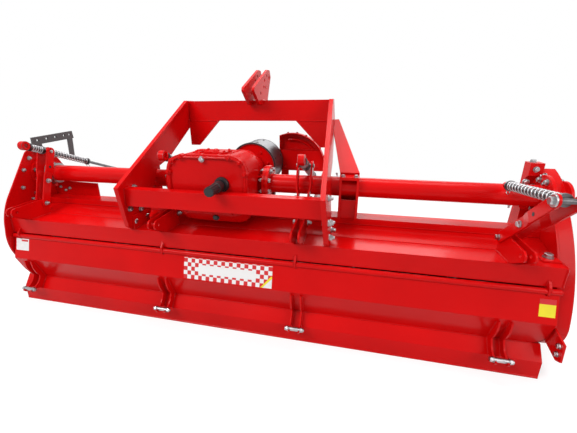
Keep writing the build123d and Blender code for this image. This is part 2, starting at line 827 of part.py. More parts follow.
def strap(x_centre, edge, eye):
    """One side of a forked arm: a bar with round ends, cranked outwards at mid height."""
    foot = (arm_foot_y, arm_foot_z)
    length = hypot(eye[0] - foot[0], eye[1] - foot[1])
    lean = atan2(eye[1] - foot[1], eye[0] - foot[0])
    x_foot = edge * arm_foot_spacing / 2
    x_fork = edge * arm_fork_spacing / 2
    half = edge * arm_thickness / 2
    end = arm_width / 2
    bar_plane = Plane(
        origin=(x_centre, foot[0], foot[1]), x_dir=(1, 0, 0), z_dir=(0, -sin(lean), cos(lean))
    )
    along = 1 if bar_plane.y_dir.dot(Vector(0, cos(lean), sin(lean))) > 0 else -1
    crank = [
        (x_foot - half, -end), (x_foot + half, -end), (x_foot + half, 0.5 * length),
        (x_fork + half, 0.62 * length), (x_fork + half, length + end), (x_fork - half, length + end),
        (x_fork - half, 0.62 * length), (x_foot - half, 0.5 * length),
    ]
    with BuildPart() as bar:
        with BuildSketch(bar_plane):
            with BuildLine():
                Polyline(*[(across, along * run) for across, run in crank], close=True)
            make_face()
        extrude(amount=end, both=True)
        with BuildSketch(Plane.YZ.offset(x_centre - arm_fork_spacing)):
            middle = ((foot[0] + eye[0]) / 2, (foot[1] + eye[1]) / 2)
            with Locations(Location((middle[0], middle[1], 0), (0, 0, degrees(lean)))):
                SlotCenterToCenter(length, arm_width)
            with Locations(eye):
                Circle(trunnion_pin_radius, mode=Mode.SUBTRACT)
        extrude(amount=2 * arm_fork_spacing, mode=Mode.INTERSECT)
    return bar.part


with BuildPart() as arms:
    for index, centre in enumerate(rod_centres):
        for edge in (-1, 1):
            add(strap(centre, edge, trunnion_at(index)))
keep(arms.part, "spring_arms")

with BuildPart() as arm_feet:
    for centre in rod_centres:
        for edge in (-1, 1):
            with BuildSketch(Plane.YZ.offset(centre + edge * foot_plate_spacing / 2 - arm_thickness / 2)):
                with BuildLine():
                    Polyline(
                        (beam_front_y, rear_beam_top), (beam_front_y, 560), (arm_foot_y + 20, arm_foot_z + 24),
                        (arm_foot_y - 28, arm_foot_z + 26), (-372, 584),
                    )
                    ThreePointArc((-372, 584), (-395, 570), (-392, 545))
                    Polyline((-392, 545), (rear_beam_rear, rear_beam_top), (beam_front_y, rear_beam_top))
                make_face()
                with Locations((-368, 560)):
                    Circle(8, mode=Mode.SUBTRACT)
            extrude(amount=arm_thickness)
keep(arm_feet.part, "spring_arm_feet")


def rod_plane_at(centre, pivot, pitch, along):
    """Plane across a rod, a distance along it from its pivot."""
    direction = (0, cos(radians(pitch)), sin(radians(pitch)))
    origin = (centre, pivot[0] + along * direction[1], pivot[1] + along * direction[2])
    return Plane(origin=origin, x_dir=(1, 0, 0), z_dir=direction)


def spring_spans(index):
    """Where each rod's springs start and end, measured from the pivot."""
    if index == 3:
        return [(spring_start, spring_start + low_spring_length)]
    return [
        (-spring_start - rear_spring_length, -spring_start),
        (spring_start, spring_start + front_spring_length),
    ]


def spring_rod(index, centre):
    """Rod with a trunnion pin, spring collars and an eye or a head behind."""
    pivot = trunnion_at(index)
    pitch = low_rod_pitch if index == 3 else rod_pitch
    rear = 0 if index == 3 else rod_rear
    front = [outer_rod_front, inner_rod_front, inner_rod_front, low_rod_front][index]
    with BuildPart() as rod:
        with BuildSketch(rod_plane_at(centre, pivot, pitch, -rear)):
            Circle(rod_radius)
        extrude(amount=rear + front)
        with BuildSketch(Plane.YZ.offset(centre - arm_fork_spacing / 2 - arm_thickness)):
            with Locations(pivot):
                Circle(trunnion_pin_radius - shaft_fit)
        extrude(amount=arm_fork_spacing + 2 * arm_thickness)
        for start, end in spring_spans(index):
            for along in (start - collar_length, end):
                with BuildSketch(rod_plane_at(centre, pivot, pitch, along)):
                    Circle(collar_radius)
                extrude(amount=collar_length)
        if rear:
            eye = rod_plane_at(centre, pivot, pitch, -rear).origin
            for radius, width, mode in (
                (rod_eye_radius, rod_eye_width, Mode.ADD),
                (rod_eye_bore, rod_eye_width + 2, Mode.SUBTRACT),
            ):
                with BuildSketch(Plane.YZ.offset(centre - width / 2)):
                    with Locations((eye.Y, eye.Z)):
                        Circle(radius)
                extrude(amount=width, mode=mode)
    return rod.part


def rod_springs(index, centre):
    """The springs on one rod, drawn as sleeves."""
    pivot = trunnion_at(index)
    pitch = low_rod_pitch if index == 3 else rod_pitch
    with BuildPart() as springs:
        for start, end in spring_spans(index):
            with BuildSketch(rod_plane_at(centre, pivot, pitch, start)):
                Circle(spring_radius)
                Circle(spring_radius - spring_wall, mode=Mode.SUBTRACT)
            extrude(amount=end - start)
    return springs.part


for index, centre in enumerate(rod_centres):
    keep(spring_rod(index, centre), "spring_rod_" + rod_names[index])
    keep(rod_springs(index, centre), "springs_" + rod_names[index])


def blade_flange(turn):
    """A flange with six blades, their tips bent to alternate sides."""
    with BuildPart() as disc:
        with BuildSketch(Plane.YZ.offset(-rotor_flange_thickness / 2)):
            Circle(rotor_flange_radius)
            Circle(rotor_tube_radius - rotor_tube_wall / 2, mode=Mode.SUBTRACT)
        extrude(amount=rotor_flange_thickness)
        with BuildSketch(Plane.YZ.offset(-blade_thickness / 2)):
            for blade in range(blades_per_flange):
                angle = turn + 360 / blades_per_flange * blade
                with Locations(Location((0, 0, 0), (0, 0, angle))):
                    with Locations((blade_radius * 0.62, 0)):
                        Rectangle(blade_radius * 0.72, blade_width)
        extrude(amount=blade_thickness)
        for side in (-1, 1):
            with BuildSketch(Plane.YZ):
                for blade in range(blades_per_flange):
                    if (blade % 2 == 0) == (side > 0):
                        start = turn + 360 / blades_per_flange * blade - blade_tip_angle / 2
                        with BuildLine():
                            outer = CenterArc((0, 0), blade_radius, start, blade_tip_angle)
                            inner = CenterArc((0, 0), blade_radius - blade_thickness, start, blade_tip_angle)
                            Line(outer @ 0, inner @ 0)
                            Line(outer @ 1, inner @ 1)
                        make_face()
            extrude(amount=side * blade_tip_reach)
    return disc.part


# Rotor: hollow tube with stub axles and a row of blade flanges
flanges = [blade_flange(blade_first_angle), blade_flange(blade_first_angle + 30)]
with BuildPart() as rotor:
    with BuildSketch(Plane.YZ.offset(-half_width + rotor_end_gap)):
        Circle(rotor_tube_radius)
        Circle(rotor_tube_radius - rotor_tube_wall, mode=Mode.SUBTRACT)
    extrude(amount=2 * (half_width - rotor_end_gap))
    for side in (-1, 1):
        tube_end = side * (half_width - rotor_end_gap)
        with BuildSketch(Plane.YZ.offset(tube_end)):
            Circle(rotor_tube_radius)
        extrude(amount=-side * rotor_plug_length)
        with BuildSketch(Plane.YZ.offset(tube_end)):
            Circle(stub_axle_radius)
        extrude(amount=side * (rotor_end_gap + plate_thickness + 20))
    first = -half_width + rotor_flange_margin
    step = 2 * (half_width - rotor_flange_margin) / (rotor_flange_count - 1)
    for turn in (0, 1):
        with Locations(*[(first + count * step, 0, 0) for count in range(turn, rotor_flange_count, 2)]):
            add(flanges[turn])
keep(rotor.part.moved(Location((0, rotor_y, rotor_z))), "rotor")

# Stowed parking stand: drilled bar with a leg turned down at its front end
with BuildPart() as stand:
    with BuildSketch(Plane.YZ.offset(-half_width + weld_gap)):
        with BuildLine():
            Polyline(
                (-84, 921), (198, 940), (202, 894), (192, 893), (182, 781), (151, 783), (158, 891),
                (-30, 880), (-30, 838), (-88, 838),
                close=True,
            )
        make_face()
        with Locations((-50, 903), (10, 908), (70, 912), (134, 916), (176, 918), (-58, 860)):
            Circle(8, mode=Mode.SUBTRACT)
    extrude(amount=stand_thickness)
keep(stand.part, "parking_stand")

os.makedirs("parts", exist_ok=True)
for piece in pieces:
    export_step(piece, f"parts/{piece.label}.step")
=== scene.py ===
import json
from math import cos, pi, radians, sin
import bmesh
import bpy
from mathutils import Matrix, Vector


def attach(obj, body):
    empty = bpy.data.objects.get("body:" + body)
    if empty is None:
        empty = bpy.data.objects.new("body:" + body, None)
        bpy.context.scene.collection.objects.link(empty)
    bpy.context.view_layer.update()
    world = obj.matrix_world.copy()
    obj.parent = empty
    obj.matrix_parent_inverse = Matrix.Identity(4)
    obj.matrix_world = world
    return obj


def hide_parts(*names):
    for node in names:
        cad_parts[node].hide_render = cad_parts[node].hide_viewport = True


# A red rotary tiller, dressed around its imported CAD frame.
# +Y forward, +X right, +Z up. Places and sizes below are in millimetres, and MM turns them into metres.

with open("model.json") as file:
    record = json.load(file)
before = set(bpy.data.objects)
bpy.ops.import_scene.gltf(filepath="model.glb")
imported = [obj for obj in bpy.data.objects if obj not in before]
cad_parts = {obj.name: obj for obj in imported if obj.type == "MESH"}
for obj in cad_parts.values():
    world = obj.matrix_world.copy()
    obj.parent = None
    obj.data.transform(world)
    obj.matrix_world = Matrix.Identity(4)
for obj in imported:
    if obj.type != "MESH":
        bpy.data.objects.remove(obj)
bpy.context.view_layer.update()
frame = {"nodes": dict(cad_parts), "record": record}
nodes = frame["nodes"]

MM = 0.001
X, Y, Z = range(3)
UP = Vector((0, 0, 1))
FORWARD = Vector((0, 1, 0))
BACK = -FORWARD
IMAGE_WIDTH = 577
IMAGE_HEIGHT = 433

# Camera fitted to the photo
CAMERA_PLACE = (0.5172, -1.5534, 1.0841)
CAMERA_YAW = 13.22
CAMERA_PITCH = 18.31
CAMERA_ROLL = -0.41
CAMERA_FOCAL_PX = 307.28
CAMERA_CENTRE_PX = (280.0, 208.5)
SENSOR_MM = 36

# Paint, steel and sticker colours
RED = (0.62, 0.0025, 0.003)
ZINC = (0.43, 0.42, 0.43)
# Zinc darkened to a third as painted shade on the spring rods inside their coils
PAINTED_SHADE_ZINC = (0.14, 0.135, 0.14)
GREY_STEEL = (0.075, 0.068, 0.07)
BLACK_STEEL = (0.012, 0.011, 0.013)
DRUM = (0.11, 0.11, 0.12)
STICKER_WHITE = (0.82, 0.81, 0.8)
STICKER_RED = (0.6, 0.01, 0.015)
STICKER_YELLOW = (0.85, 0.72, 0.02)

# Main planes of the machine
HALF_WIDTH = 1340
TUBE_Y = -45
TUBE_Z = 708
FLANGE_THICKNESS = 16
FLANGE_BOLT_RADIUS = 72
NECK_LEFT = -421
NECK_RIGHT = 104
HITCH_X = -55
SHAFT_Z = 748
GEARBOX_X = -131
GEARBOX_HALF = 195
GEARBOX_MID = 740
GEARBOX_HALF_HEIGHT = 136
COVER_FACE = -282
ROTOR_Y = -45
ROTOR_Z = 242.9
BEAM_TOP = 498
BEAM_FRONT = -188
BEAM_REAR = -310
MID_BEAM_TOP = 561.2
MID_BEAM_REAR = -90
MID_BEAM_FRONT = 0
HITCH_FOOT_HALF = 502
HITCH_TOP_HALF = 452
HITCH_TOP = 1121
PLATE_THICKNESS = 14

# Spring rods: x, pivot, pitch, springs as (start, end, turns), reach behind and in front
ARM_FOOT = (-205, 564)
ROD_PITCH = -21
LOW_ROD_PITCH = -6.4
REAR_SPRING = (-90, -26, 4)
FRONT_SPRING = (26, 286, 12)
LOW_SPRING = (26, 356, 13)
RODS = {
    "left_outer": (-1215, (-111, 849), ROD_PITCH, [REAR_SPRING, FRONT_SPRING], 124, 560),
    "left_inner": (-371, (-118, 820), ROD_PITCH, [REAR_SPRING, FRONT_SPRING], 124, 480),
    "right_inner": (305, (-118, 820), ROD_PITCH, [REAR_SPRING, FRONT_SPRING], 124, 480),
    "right_outer": (1162, (-496, 808), LOW_ROD_PITCH, [LOW_SPRING], 0, 400),
}
CATCH_X = [-1232, -381, 307, 1158]
CATCH_PIN = (-392, 104)

# Tailboard: top edge, bend, notch and foot as (y, z)
BOARD_TOP = (-318, 392)
BOARD_BEND = (-352, 272)
BOARD_NOTCH = (-302, 142)
BOARD_FOOT = (-345, 0)
BOARD_HALF = 1332

# Angles in degrees above which an edge is drawn sharp, on flat pieces and on round ones
EDGE_CREASE = 35
ROUND_CREASE = 60


# Materials


def new_material(name):
    material = bpy.data.materials.new(name)
    material.use_nodes = True
    tree = material.node_tree
    shader = tree.nodes["Principled BSDF"]
    return material, tree, shader


def noise(tree, scale, detail=3.0, roughness=0.5):
    """Noise in object coordinates, so it stays put on the part."""
    place = tree.nodes.new("ShaderNodeTexCoord")
    texture = tree.nodes.new("ShaderNodeTexNoise")
    texture.inputs["Scale"].default_value = scale
    texture.inputs["Detail"].default_value = detail
    texture.inputs["Roughness"].default_value = roughness
    tree.links.new(place.outputs["Object"], texture.inputs["Vector"])
    return texture


def ramp(tree, source, stops):
    """Colour ramp through (position, colour) stops."""
    node = tree.nodes.new("ShaderNodeValToRGB")
    elements = node.color_ramp.elements
    while len(elements) < len(stops):
        elements.new(0.5)
    for element, (position, colour) in zip(elements, stops):
        element.position = position
        element.color = (*colour, 1.0)
    tree.links.new(source, node.inputs["Fac"])
    return node.outputs["Color"]


def math_node(tree, operation, first, second):
    node = tree.nodes.new("ShaderNodeMath")
    node.operation = operation
    for socket, value in zip(node.inputs, (first, second)):
        if isinstance(value, (int, float)):
            socket.default_value = value
        else:
            tree.links.new(value, socket)
    return node.outputs["Value"]


def rounded_bump(tree, shader, source, strength, distance, edge):
    """Bump over softly rounded edges."""
    node = tree.nodes.new("ShaderNodeBump")
    node.inputs["Strength"].default_value = strength
    node.inputs["Distance"].default_value = distance
    tree.links.new(source, node.inputs["Height"])
    if edge:
        round_edge = tree.nodes.new("ShaderNodeBevel")
        round_edge.samples = 4
        round_edge.inputs["Radius"].default_value = edge * MM
        tree.links.new(round_edge.outputs["Normal"], node.inputs["Normal"])
    tree.links.new(node.outputs["Normal"], shader.inputs["Normal"])


def map_range(tree, source, low, high):
    node = tree.nodes.new("ShaderNodeMapRange")
    node.inputs["To Min"].default_value = low
    node.inputs["To Max"].default_value = high
    tree.links.new(source, node.inputs["Value"])
    return node.outputs["Result"]


def shade(colour, factor):
    return tuple(channel * factor for channel in colour)


def paint(name, colour, rough, coat, grain_scale, peel, edge, specular=0.09):
    """Gloss paint with faint clouding, uneven gloss and orange peel."""
    material, tree, shader = new_material(name)
    cloud = noise(tree, 3.0, 4.0)
    tone = ramp(tree, cloud.outputs["Fac"], [(0.3, shade(colour, 0.88)), (0.7, shade(colour, 1.06))])
    tree.links.new(tone, shader.inputs["Base Color"])
    gloss = noise(tree, 9.0, 5.0)
    tree.links.new(map_range(tree, gloss.outputs["Fac"], *rough), shader.inputs["Roughness"])
    shader.inputs["Specular IOR Level"].default_value = specular
    shader.inputs["Coat Weight"].default_value = coat
    shader.inputs["Coat Roughness"].default_value = 0.1
    grain = noise(tree, grain_scale, 3.0)
    rounded_bump(tree, shader, grain.outputs["Fac"], peel, 0.0008, edge)
    return material


def metal(name, colour, rough, scale, peel, edge):
    """Bare metal with mottled tone and uneven gloss."""
    material, tree, shader = new_material(name)
    mottle = noise(tree, scale, 5.0, 0.6)
    tone = ramp(tree, mottle.outputs["Fac"], [(0.32, shade(colour, 0.7)), (0.68, shade(colour, 1.15))])
    tree.links.new(tone, shader.inputs["Base Color"])
    tree.links.new(map_range(tree, mottle.outputs["Fac"], rough[1], rough[0]), shader.inputs["Roughness"])
    shader.inputs["Metallic"].default_value = 1.0
    grain = noise(tree, scale * 6, 2.0)
    rounded_bump(tree, shader, grain.outputs["Fac"], peel, 0.0004, edge)
    return material


# Noise scale along x, y and z that draws lines round an axis along y
LINE_SCALE = (4.0, 600.0, 4.0)


def brushed_drum(name):
    """Dark turned steel with fine lines round the drum's axis."""
    material, tree, shader = new_material(name)
    place = tree.nodes.new("ShaderNodeTexCoord")
    stretch = tree.nodes.new("ShaderNodeMapping")
    stretch.inputs["Scale"].default_value = LINE_SCALE
    tree.links.new(place.outputs["Object"], stretch.inputs["Vector"])
    lines = tree.nodes.new("ShaderNodeTexNoise")
    lines.inputs["Scale"].default_value = 1.0
    lines.inputs["Detail"].default_value = 4.0
    tree.links.new(stretch.outputs["Vector"], lines.inputs["Vector"])
    tone = ramp(tree, lines.outputs["Fac"], [(0.3, shade(DRUM, 0.6)), (0.7, shade(DRUM, 1.5))])
    tree.links.new(tone, shader.inputs["Base Color"])
    shader.inputs["Metallic"].default_value = 0.85
    tree.links.new(map_range(tree, lines.outputs["Fac"], 0.28, 0.5), shader.inputs["Roughness"])
    rounded_bump(tree, shader, lines.outputs["Fac"], 0.25, 0.0004, 1.5)
    return material


def sticker(name, colour):
    """Printed film with a faint mottle."""
    material, tree, shader = new_material(name)
    mottle = noise(tree, 40.0, 3.0)
    tone = ramp(tree, mottle.outputs["Fac"], [(0.3, shade(colour, 0.93)), (0.7, colour)])
    tree.links.new(tone, shader.inputs["Base Color"])
    shader.inputs["Roughness"].default_value = 0.35
    return material


def chequered_sticker(name, centre, half_size, square, panel):
    """Red and white squares round a plain white panel. All sizes in metres."""
    material, tree, shader = new_material(name)
    place = tree.nodes.new("ShaderNodeTexCoord")
    axes = tree.nodes.new("ShaderNodeSeparateXYZ")
    tree.links.new(place.outputs["Object"], axes.inputs["Vector"])
    across = math_node(tree, "SUBTRACT", axes.outputs["X"], centre[0] - half_size[0])
    upward = math_node(tree, "SUBTRACT", axes.outputs["Z"], centre[1] - half_size[1])
    flat = tree.nodes.new("ShaderNodeCombineXYZ")
    tree.links.new(across, flat.inputs["X"])
    tree.links.new(upward, flat.inputs["Y"])
    flat.inputs["Z"].default_value = 0.5 * square
    squares = tree.nodes.new("ShaderNodeTexChecker")
    squares.inputs["Scale"].default_value = 1 / square
    squares.inputs["Color1"].default_value = (*STICKER_WHITE, 1.0)
    squares.inputs["Color2"].default_value = (*STICKER_RED, 1.0)
    tree.links.new(flat.outputs["Vector"], squares.inputs["Vector"])
    off_x = math_node(tree, "ABSOLUTE", math_node(tree, "SUBTRACT", axes.outputs["X"], centre[0]), 0.0)
    off_z = math_node(tree, "ABSOLUTE", math_node(tree, "SUBTRACT", axes.outputs["Z"], centre[1]), 0.0)
    inside_x = math_node(tree, "LESS_THAN", off_x, panel[0])
    inside_z = math_node(tree, "LESS_THAN", off_z, panel[1])
    inside = math_node(tree, "MULTIPLY", inside_x, inside_z)
    mix = tree.nodes.new("ShaderNodeMix")
    mix.data_type = "RGBA"
    tree.links.new(inside, mix.inputs["Factor"])
    tree.links.new(squares.outputs["Color"], mix.inputs["A"])
    mix.inputs["B"].default_value = (*STICKER_WHITE, 1.0)
    tree.links.new(mix.outputs["Result"], shader.inputs["Base Color"])
    shader.inputs["Roughness"].default_value = 0.35
    return material


red_paint = paint("red_paint", RED, (0.18, 0.3), 0.04, 160.0, 0.06, 3.0)
cast_paint = paint("red_paint_on_casting", shade(RED, 0.96), (0.2, 0.36), 0.06, 60.0, 0.35, 4.0)
weld_paint = paint("red_paint_on_weld", shade(RED, 0.9), (0.25, 0.4), 0.05, 150.0, 0.5, 0)
zinc = metal("zinc", ZINC, (0.2, 0.4), 60.0, 0.15, 0)
# Darker, rougher zinc for the spring rods: the darker tone is painted shade inside the coils
painted_shade_zinc = metal("painted_shade_zinc", PAINTED_SHADE_ZINC, (0.35, 0.5), 40.0, 0.15, 0)
grey_steel = paint("grey_steel", GREY_STEEL, (0.45, 0.65), 0.0, 90.0, 0.25, 2.0, 0.4)
black_steel = paint("black_steel", BLACK_STEEL, (0.35, 0.5), 0.05, 120.0, 0.2, 1.0, 0.4)
drum_steel = brushed_drum("drum_steel")

SLOT_MATERIALS = {
    "red_paint": red_paint,
    "zinc": zinc,
    "dark_steel": grey_steel,
    "brushed_drum": drum_steel,
}
NODE_MATERIALS = {
    "gearbox": cast_paint,
    "gearbox_cover": cast_paint,
    "gear_case": cast_paint,
    "input_shaft": black_steel,
}
# The spring rods take the darkened zinc, painted shade inside their coils
for rod in RODS:
    NODE_MATERIALS["spring_rod_" + rod] = painted_shade_zinc
slot_of = {entry["node"]: entry["material_slot"] for entry in frame["record"]["subparts"]}
for name, node in nodes.items():
    node.data.materials.clear()
    node.data.materials.append(NODE_MATERIALS.get(name, SLOT_MATERIALS[slot_of[name]]))


# Mesh building


def at(x, y, z):
    return Vector((x, y, z)) * MM


def turns(count, offset=0.0):
    """Even angles round a full turn. The offset is a share of one space."""
    return [2 * pi * (step + offset) / count for step in range(count)]


def spread(first, last, count):
    """Even numbers from first to last."""
    return [first + (last - first) * step / (count - 1) for step in range(count)]


def square_to(axis):
    """Two directions square to an axis."""
    side = axis.orthogonal().normalized()
    return side, axis.cross(side)


def add_ring(mesh, centre, side, other, radius, count):
    corners = []
    for turn in turns(count):
        corners.append(mesh.verts.new(centre + (side * cos(turn) + other * sin(turn)) * radius))
    return corners


def bridge(mesh, first, second):
    count = len(first)
    for step in range(count):
        following = (step + 1) % count
        mesh.faces.new((first[step], first[following], second[following], second[step]))


def skin(mesh, rings, closed=False):
    """Faces from ring to ring. Closed joins the last ring to the first, else both get a cap."""
    for first, second in zip(rings, rings[1:]):
        bridge(mesh, first, second)
    if closed:
        bridge(mesh, rings[-1], rings[0])
    else:
        mesh.faces.new(list(reversed(rings[0])))
        mesh.faces.new(rings[-1])


def turned(mesh, base, axis, profile, count=24, hollow=False):
    """Turned solid from (along, radius) stops in mm. Hollow closes the profile on itself."""
    axis = Vector(axis).normalized()
    side, other = square_to(axis)
    rings = []
    for along, radius in profile:
        rings.append(add_ring(mesh, base + axis * along * MM, side, other, radius * MM, count))
    skin(mesh, rings, hollow)


# Bolt profiles as (along, radius), both as shares of the bolt's size
WASHER = [(0, 0.98), (0.2, 0.98)]
HEX_HEAD = [(0.2, 0.8), (0.776, 0.8), (0.92, 0.64)]
THREAD_END = [(0.92, 0.48), (1.32, 0.48), (1.42, 0.4)]


def bolt(mesh, place, axis, size, end=False):
    """Washer and hex head of a metric bolt. An end shows its thread past the nut."""
    parts = [(WASHER, 20), (HEX_HEAD, 6)]
    if end:
        parts.append((THREAD_END, 12))
    for profile, count in parts:
        turned(mesh, place, axis, [(along * size, radius * size) for along, radius in profile], count)


def bolt_circle(mesh, centre, axis, radius, count, size, offset=0.5, end=False):
    """Even bolts round a centre, square to an axis along x or y."""
    level = Vector((0, 1, 0)) if axis[0] else Vector((1, 0, 0))
    for turn in turns(count, offset):
        spoke = level * cos(turn) + UP * sin(turn)
        bolt(mesh, centre + spoke * radius * MM, axis, size, end)


def swept(mesh, path, radius, count=8, closed=False):
    """Round bar along a path. The radius in mm is one number, or a list with one for each point."""
    total = len(path)
    radii = radius if isinstance(radius, list) else [radius] * total
    tangents = []
    for step in range(total):
        before = path[step - 1] if closed or step else path[0]
        after = path[(step + 1) % total] if closed or step < total - 1 else path[-1]
        tangents.append((after - before).normalized())
    side = tangents[0].orthogonal().normalized()
    rings = []
    for place, tangent, bar_radius in zip(path, tangents, radii):
        side = (side - tangent * side.dot(tangent)).normalized()
        rings.append(add_ring(mesh, place, side, tangent.cross(side), bar_radius * MM, count))
    skin(mesh, rings, closed)


# Ripples of a weld bead as (share of its radius, turn in radians a step)
BEAD_RIPPLES = ((0.16, 2.4), (0.08, 0.7))
BEAD_PITCH = 7
SEAM_PITCH = 16


def bead(mesh, start, end, radius=3.2, pitch=BEAD_PITCH):
    """Weld bead in a straight line, with its ripples."""
    run = end - start
    steps = max(2, int(run.length / (pitch * MM)))
    path = []
    radii = []
    for step in range(steps + 1):
        path.append(start + run * (step / steps))
        radii.append(radius * (1 + sum(share * sin(rate * step) for share, rate in BEAD_RIPPLES)))
    swept(mesh, path, radii, 6)


def prism(mesh, outline, thickness):
    """Flat plate: an outline of points, thickened by a vector."""
    lower = [mesh.verts.new(place) for place in outline]
    upper = [mesh.verts.new(place + thickness) for place in outline]
    bridge(mesh, lower, upper)
    mesh.faces.new(list(reversed(lower)))
    mesh.faces.new(upper)


def plate(mesh, axis, start, thickness, outline):
    """Flat plate square to axis X, Y or Z, from its corners in the other two axes."""
    corners = []
    for corner in outline:
        place = list(corner)
        place.insert(axis, start)
        corners.append(at(*place))
    through = Vector((0, 0, 0))
    through[axis] = thickness * MM
    prism(mesh, corners, through)


def rectangle(left, right, low, high):
    return [(left, low), (right, low), (right, high), (left, high)]


def finish_piece(name, mesh, material, body, crease=EDGE_CREASE):
    """Turns a mesh into a named piece that rides on a body."""
    bmesh.ops.recalc_face_normals(mesh, faces=mesh.faces)
    data = bpy.data.meshes.new(name)
    mesh.to_mesh(data)
    mesh.free()
    data.materials.append(material)
    for polygon in data.polygons:
        polygon.use_smooth = True
    data.set_sharp_from_angle(angle=radians(crease))
    piece = bpy.data.objects.new(name, data)
    bpy.context.collection.objects.link(piece)
    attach(piece, body)
    return piece


# Springs, rods and forked arms

COIL_RADIUS = 16.6
WIRE_RADIUS = 3.3
COIL_STEPS = 16
CLOSED_SHARE = 0.045


def rod_point(rod, along, across=0.0):
    """A point along a spring rod, measured from its pivot."""
    x, pivot, pitch = RODS[rod][:3]
    turn = radians(pitch)
    y = pivot[0] + along * cos(turn) - across * sin(turn)
    z = pivot[1] + along * sin(turn) + across * cos(turn)
    return at(x, y, z)


def rod_axis(rod):
    turn = radians(RODS[rod][2])
    return Vector((0, cos(turn), sin(turn)))


def coil_share(share, end_turn):
    """How far along a spring its wire is. The first and last turn lie nearly closed."""
    if share < end_turn:
        return share / end_turn * CLOSED_SHARE
    if share > 1 - end_turn:
        return 1 - (1 - share) / end_turn * CLOSED_SHARE
    middle = (share - end_turn) / (1 - 2 * end_turn)
    return CLOSED_SHARE + middle * (1 - 2 * CLOSED_SHARE)


def coil(mesh, rod, start, end, open_turns):
    """Wound spring with a closed turn at each end."""
    side, other = square_to(rod_axis(rod))
    all_turns = open_turns + 2
    total = all_turns * COIL_STEPS
    path = []
    for step in range(total + 1):
        share = coil_share(step / total, 1 / all_turns)
        along = start + WIRE_RADIUS + share * (end - start - 2 * WIRE_RADIUS)
        turn = 2 * pi * step / COIL_STEPS
        path.append(rod_point(rod, along) + (side * cos(turn) + other * sin(turn)) * COIL_RADIUS * MM)
    swept(mesh, path, WIRE_RADIUS)


CLIP_WIRE = 1.8
CLIP_SIZE = 12
CLIP_BELOW_ROD = 26
CLIP_PAST_SPRING = 16


def clip(mesh, centre, across, along):
    """Spring clip: a bent wire eye with a straight leg."""
    eye = []
    for turn_degrees in spread(-150, 150, 15):
        turn = radians(turn_degrees)
        eye.append(centre + (across * cos(turn) + along * sin(turn)) * CLIP_SIZE * MM)
    eye.append(centre + (along * 0.4 - across * 2.6) * CLIP_SIZE * MM)
    leg = []
    for share, lift in ((0.6, 0.5), (2.9, 0.6)):
        leg.append(centre - (across * share + along * lift) * CLIP_SIZE * MM)
    swept(mesh, eye, CLIP_WIRE, 6)
    swept(mesh, leg, CLIP_WIRE, 6)


# Rod ends, and what holds each rod to its arm
THIN_CAP_RADIUS = 9.6
THICK_CAP_RADIUS = 13.5
CAP_LENGTH = 31
EYE_PROFILE = [(-15.6, 11.7), (-15.6, 22.4), (-13.4, 24.6), (13.4, 24.6), (15.6, 22.4), (15.6, 11.7)]
FORK_FACE = 41
FORK_PIN = [(0, 8.5), (1, 8.5), (1.6, 7.6)]
STRAP_FACE = 37
STRAP_WASHER = [(0, 21), (4, 21), (5, 20)]
STRAP_NUT = [(5, 14), (13, 14), (15, 12)]
STRAP_PIN_END = [(4, 16), (7, 16)]

for rod, (x, pivot, pitch, springs, reach_behind, reach_front) in RODS.items():
    mesh = bmesh.new()
    for spring in springs:
        coil(mesh, rod, *spring)
    coils = finish_piece("spring_coils_" + rod, mesh, zinc, "rod_" + rod, ROUND_CREASE)
    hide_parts("springs_" + rod)

    mesh = bmesh.new()
    cap = THIN_CAP_RADIUS if reach_behind else THICK_CAP_RADIUS
    end_cap = [(0, cap), (CAP_LENGTH - 3, cap), (CAP_LENGTH - 1, cap - 2), (CAP_LENGTH, cap - 5)]
    turned(mesh, rod_point(rod, reach_front - CAP_LENGTH), rod_axis(rod), end_cap)
    if reach_behind:
        turned(mesh, rod_point(rod, -reach_behind), (1, 0, 0), EYE_PROFILE, 32, True)
    finish_piece("rod_ends_" + rod, mesh, red_paint, "rod_" + rod)

    mesh = bmesh.new()
    clip_place = rod_point(rod, springs[-1][1] + CLIP_PAST_SPRING, -CLIP_BELOW_ROD)
    clip(mesh, clip_place, Vector((0, sin(radians(-pitch)), -1)).normalized(), rod_axis(rod))
    if rod == "right_outer":
        turned(mesh, at(x - STRAP_FACE, *pivot), (-1, 0, 0), STRAP_WASHER, 32)
        turned(mesh, at(x - STRAP_FACE, *pivot), (-1, 0, 0), STRAP_NUT, 6)
        turned(mesh, at(x + STRAP_FACE, *pivot), (1, 0, 0), STRAP_PIN_END)
    else:
        for side in (-1, 1):
            turned(mesh, at(x + side * FORK_FACE, *pivot), (side, 0, 0), FORK_PIN, 20)
    finish_piece("rod_clip_" + rod, mesh, zinc, "rod_" + rod)

# Bolts at each arm's foot and middle, and a thin black disc at its open hole as painted shade
ARM_BOLT_FACE = 29
ARM_BOLT_SIZE = 14
ARM_BOLT_SHARE = 0.435
ARM_HOLE_FACE = 37
ARM_HOLE_SHARE = 0.7
ARM_HOLE = [(0, 7.5), (0.4, 7.5)]


def along_arm(pivot, share):
    """(y, z) of a point between an arm's foot and its pivot."""
    return tuple(foot + share * (top - foot) for foot, top in zip(ARM_FOOT, pivot))


bolts = bmesh.new()
hole_shade_discs = bmesh.new()
for x, pivot, *_ in RODS.values():
    for side in (-1, 1):
        for share in (0, ARM_BOLT_SHARE):
            place = at(x + side * ARM_BOLT_FACE, *along_arm(pivot, share))
            bolt(bolts, place, (side, 0, 0), ARM_BOLT_SIZE, end=side > 0)
        hole_place = at(x + side * ARM_HOLE_FACE, *along_arm(pivot, ARM_HOLE_SHARE))
        # A thin black disc on the arm face: painted shade inside the open hole
        turned(hole_shade_discs, hole_place, (side, 0, 0), ARM_HOLE, 20)
finish_piece("spring_arm_bolts", bolts, zinc, "frame")
finish_piece("spring_arm_hole_shade_discs", hole_shade_discs, black_steel, "frame")

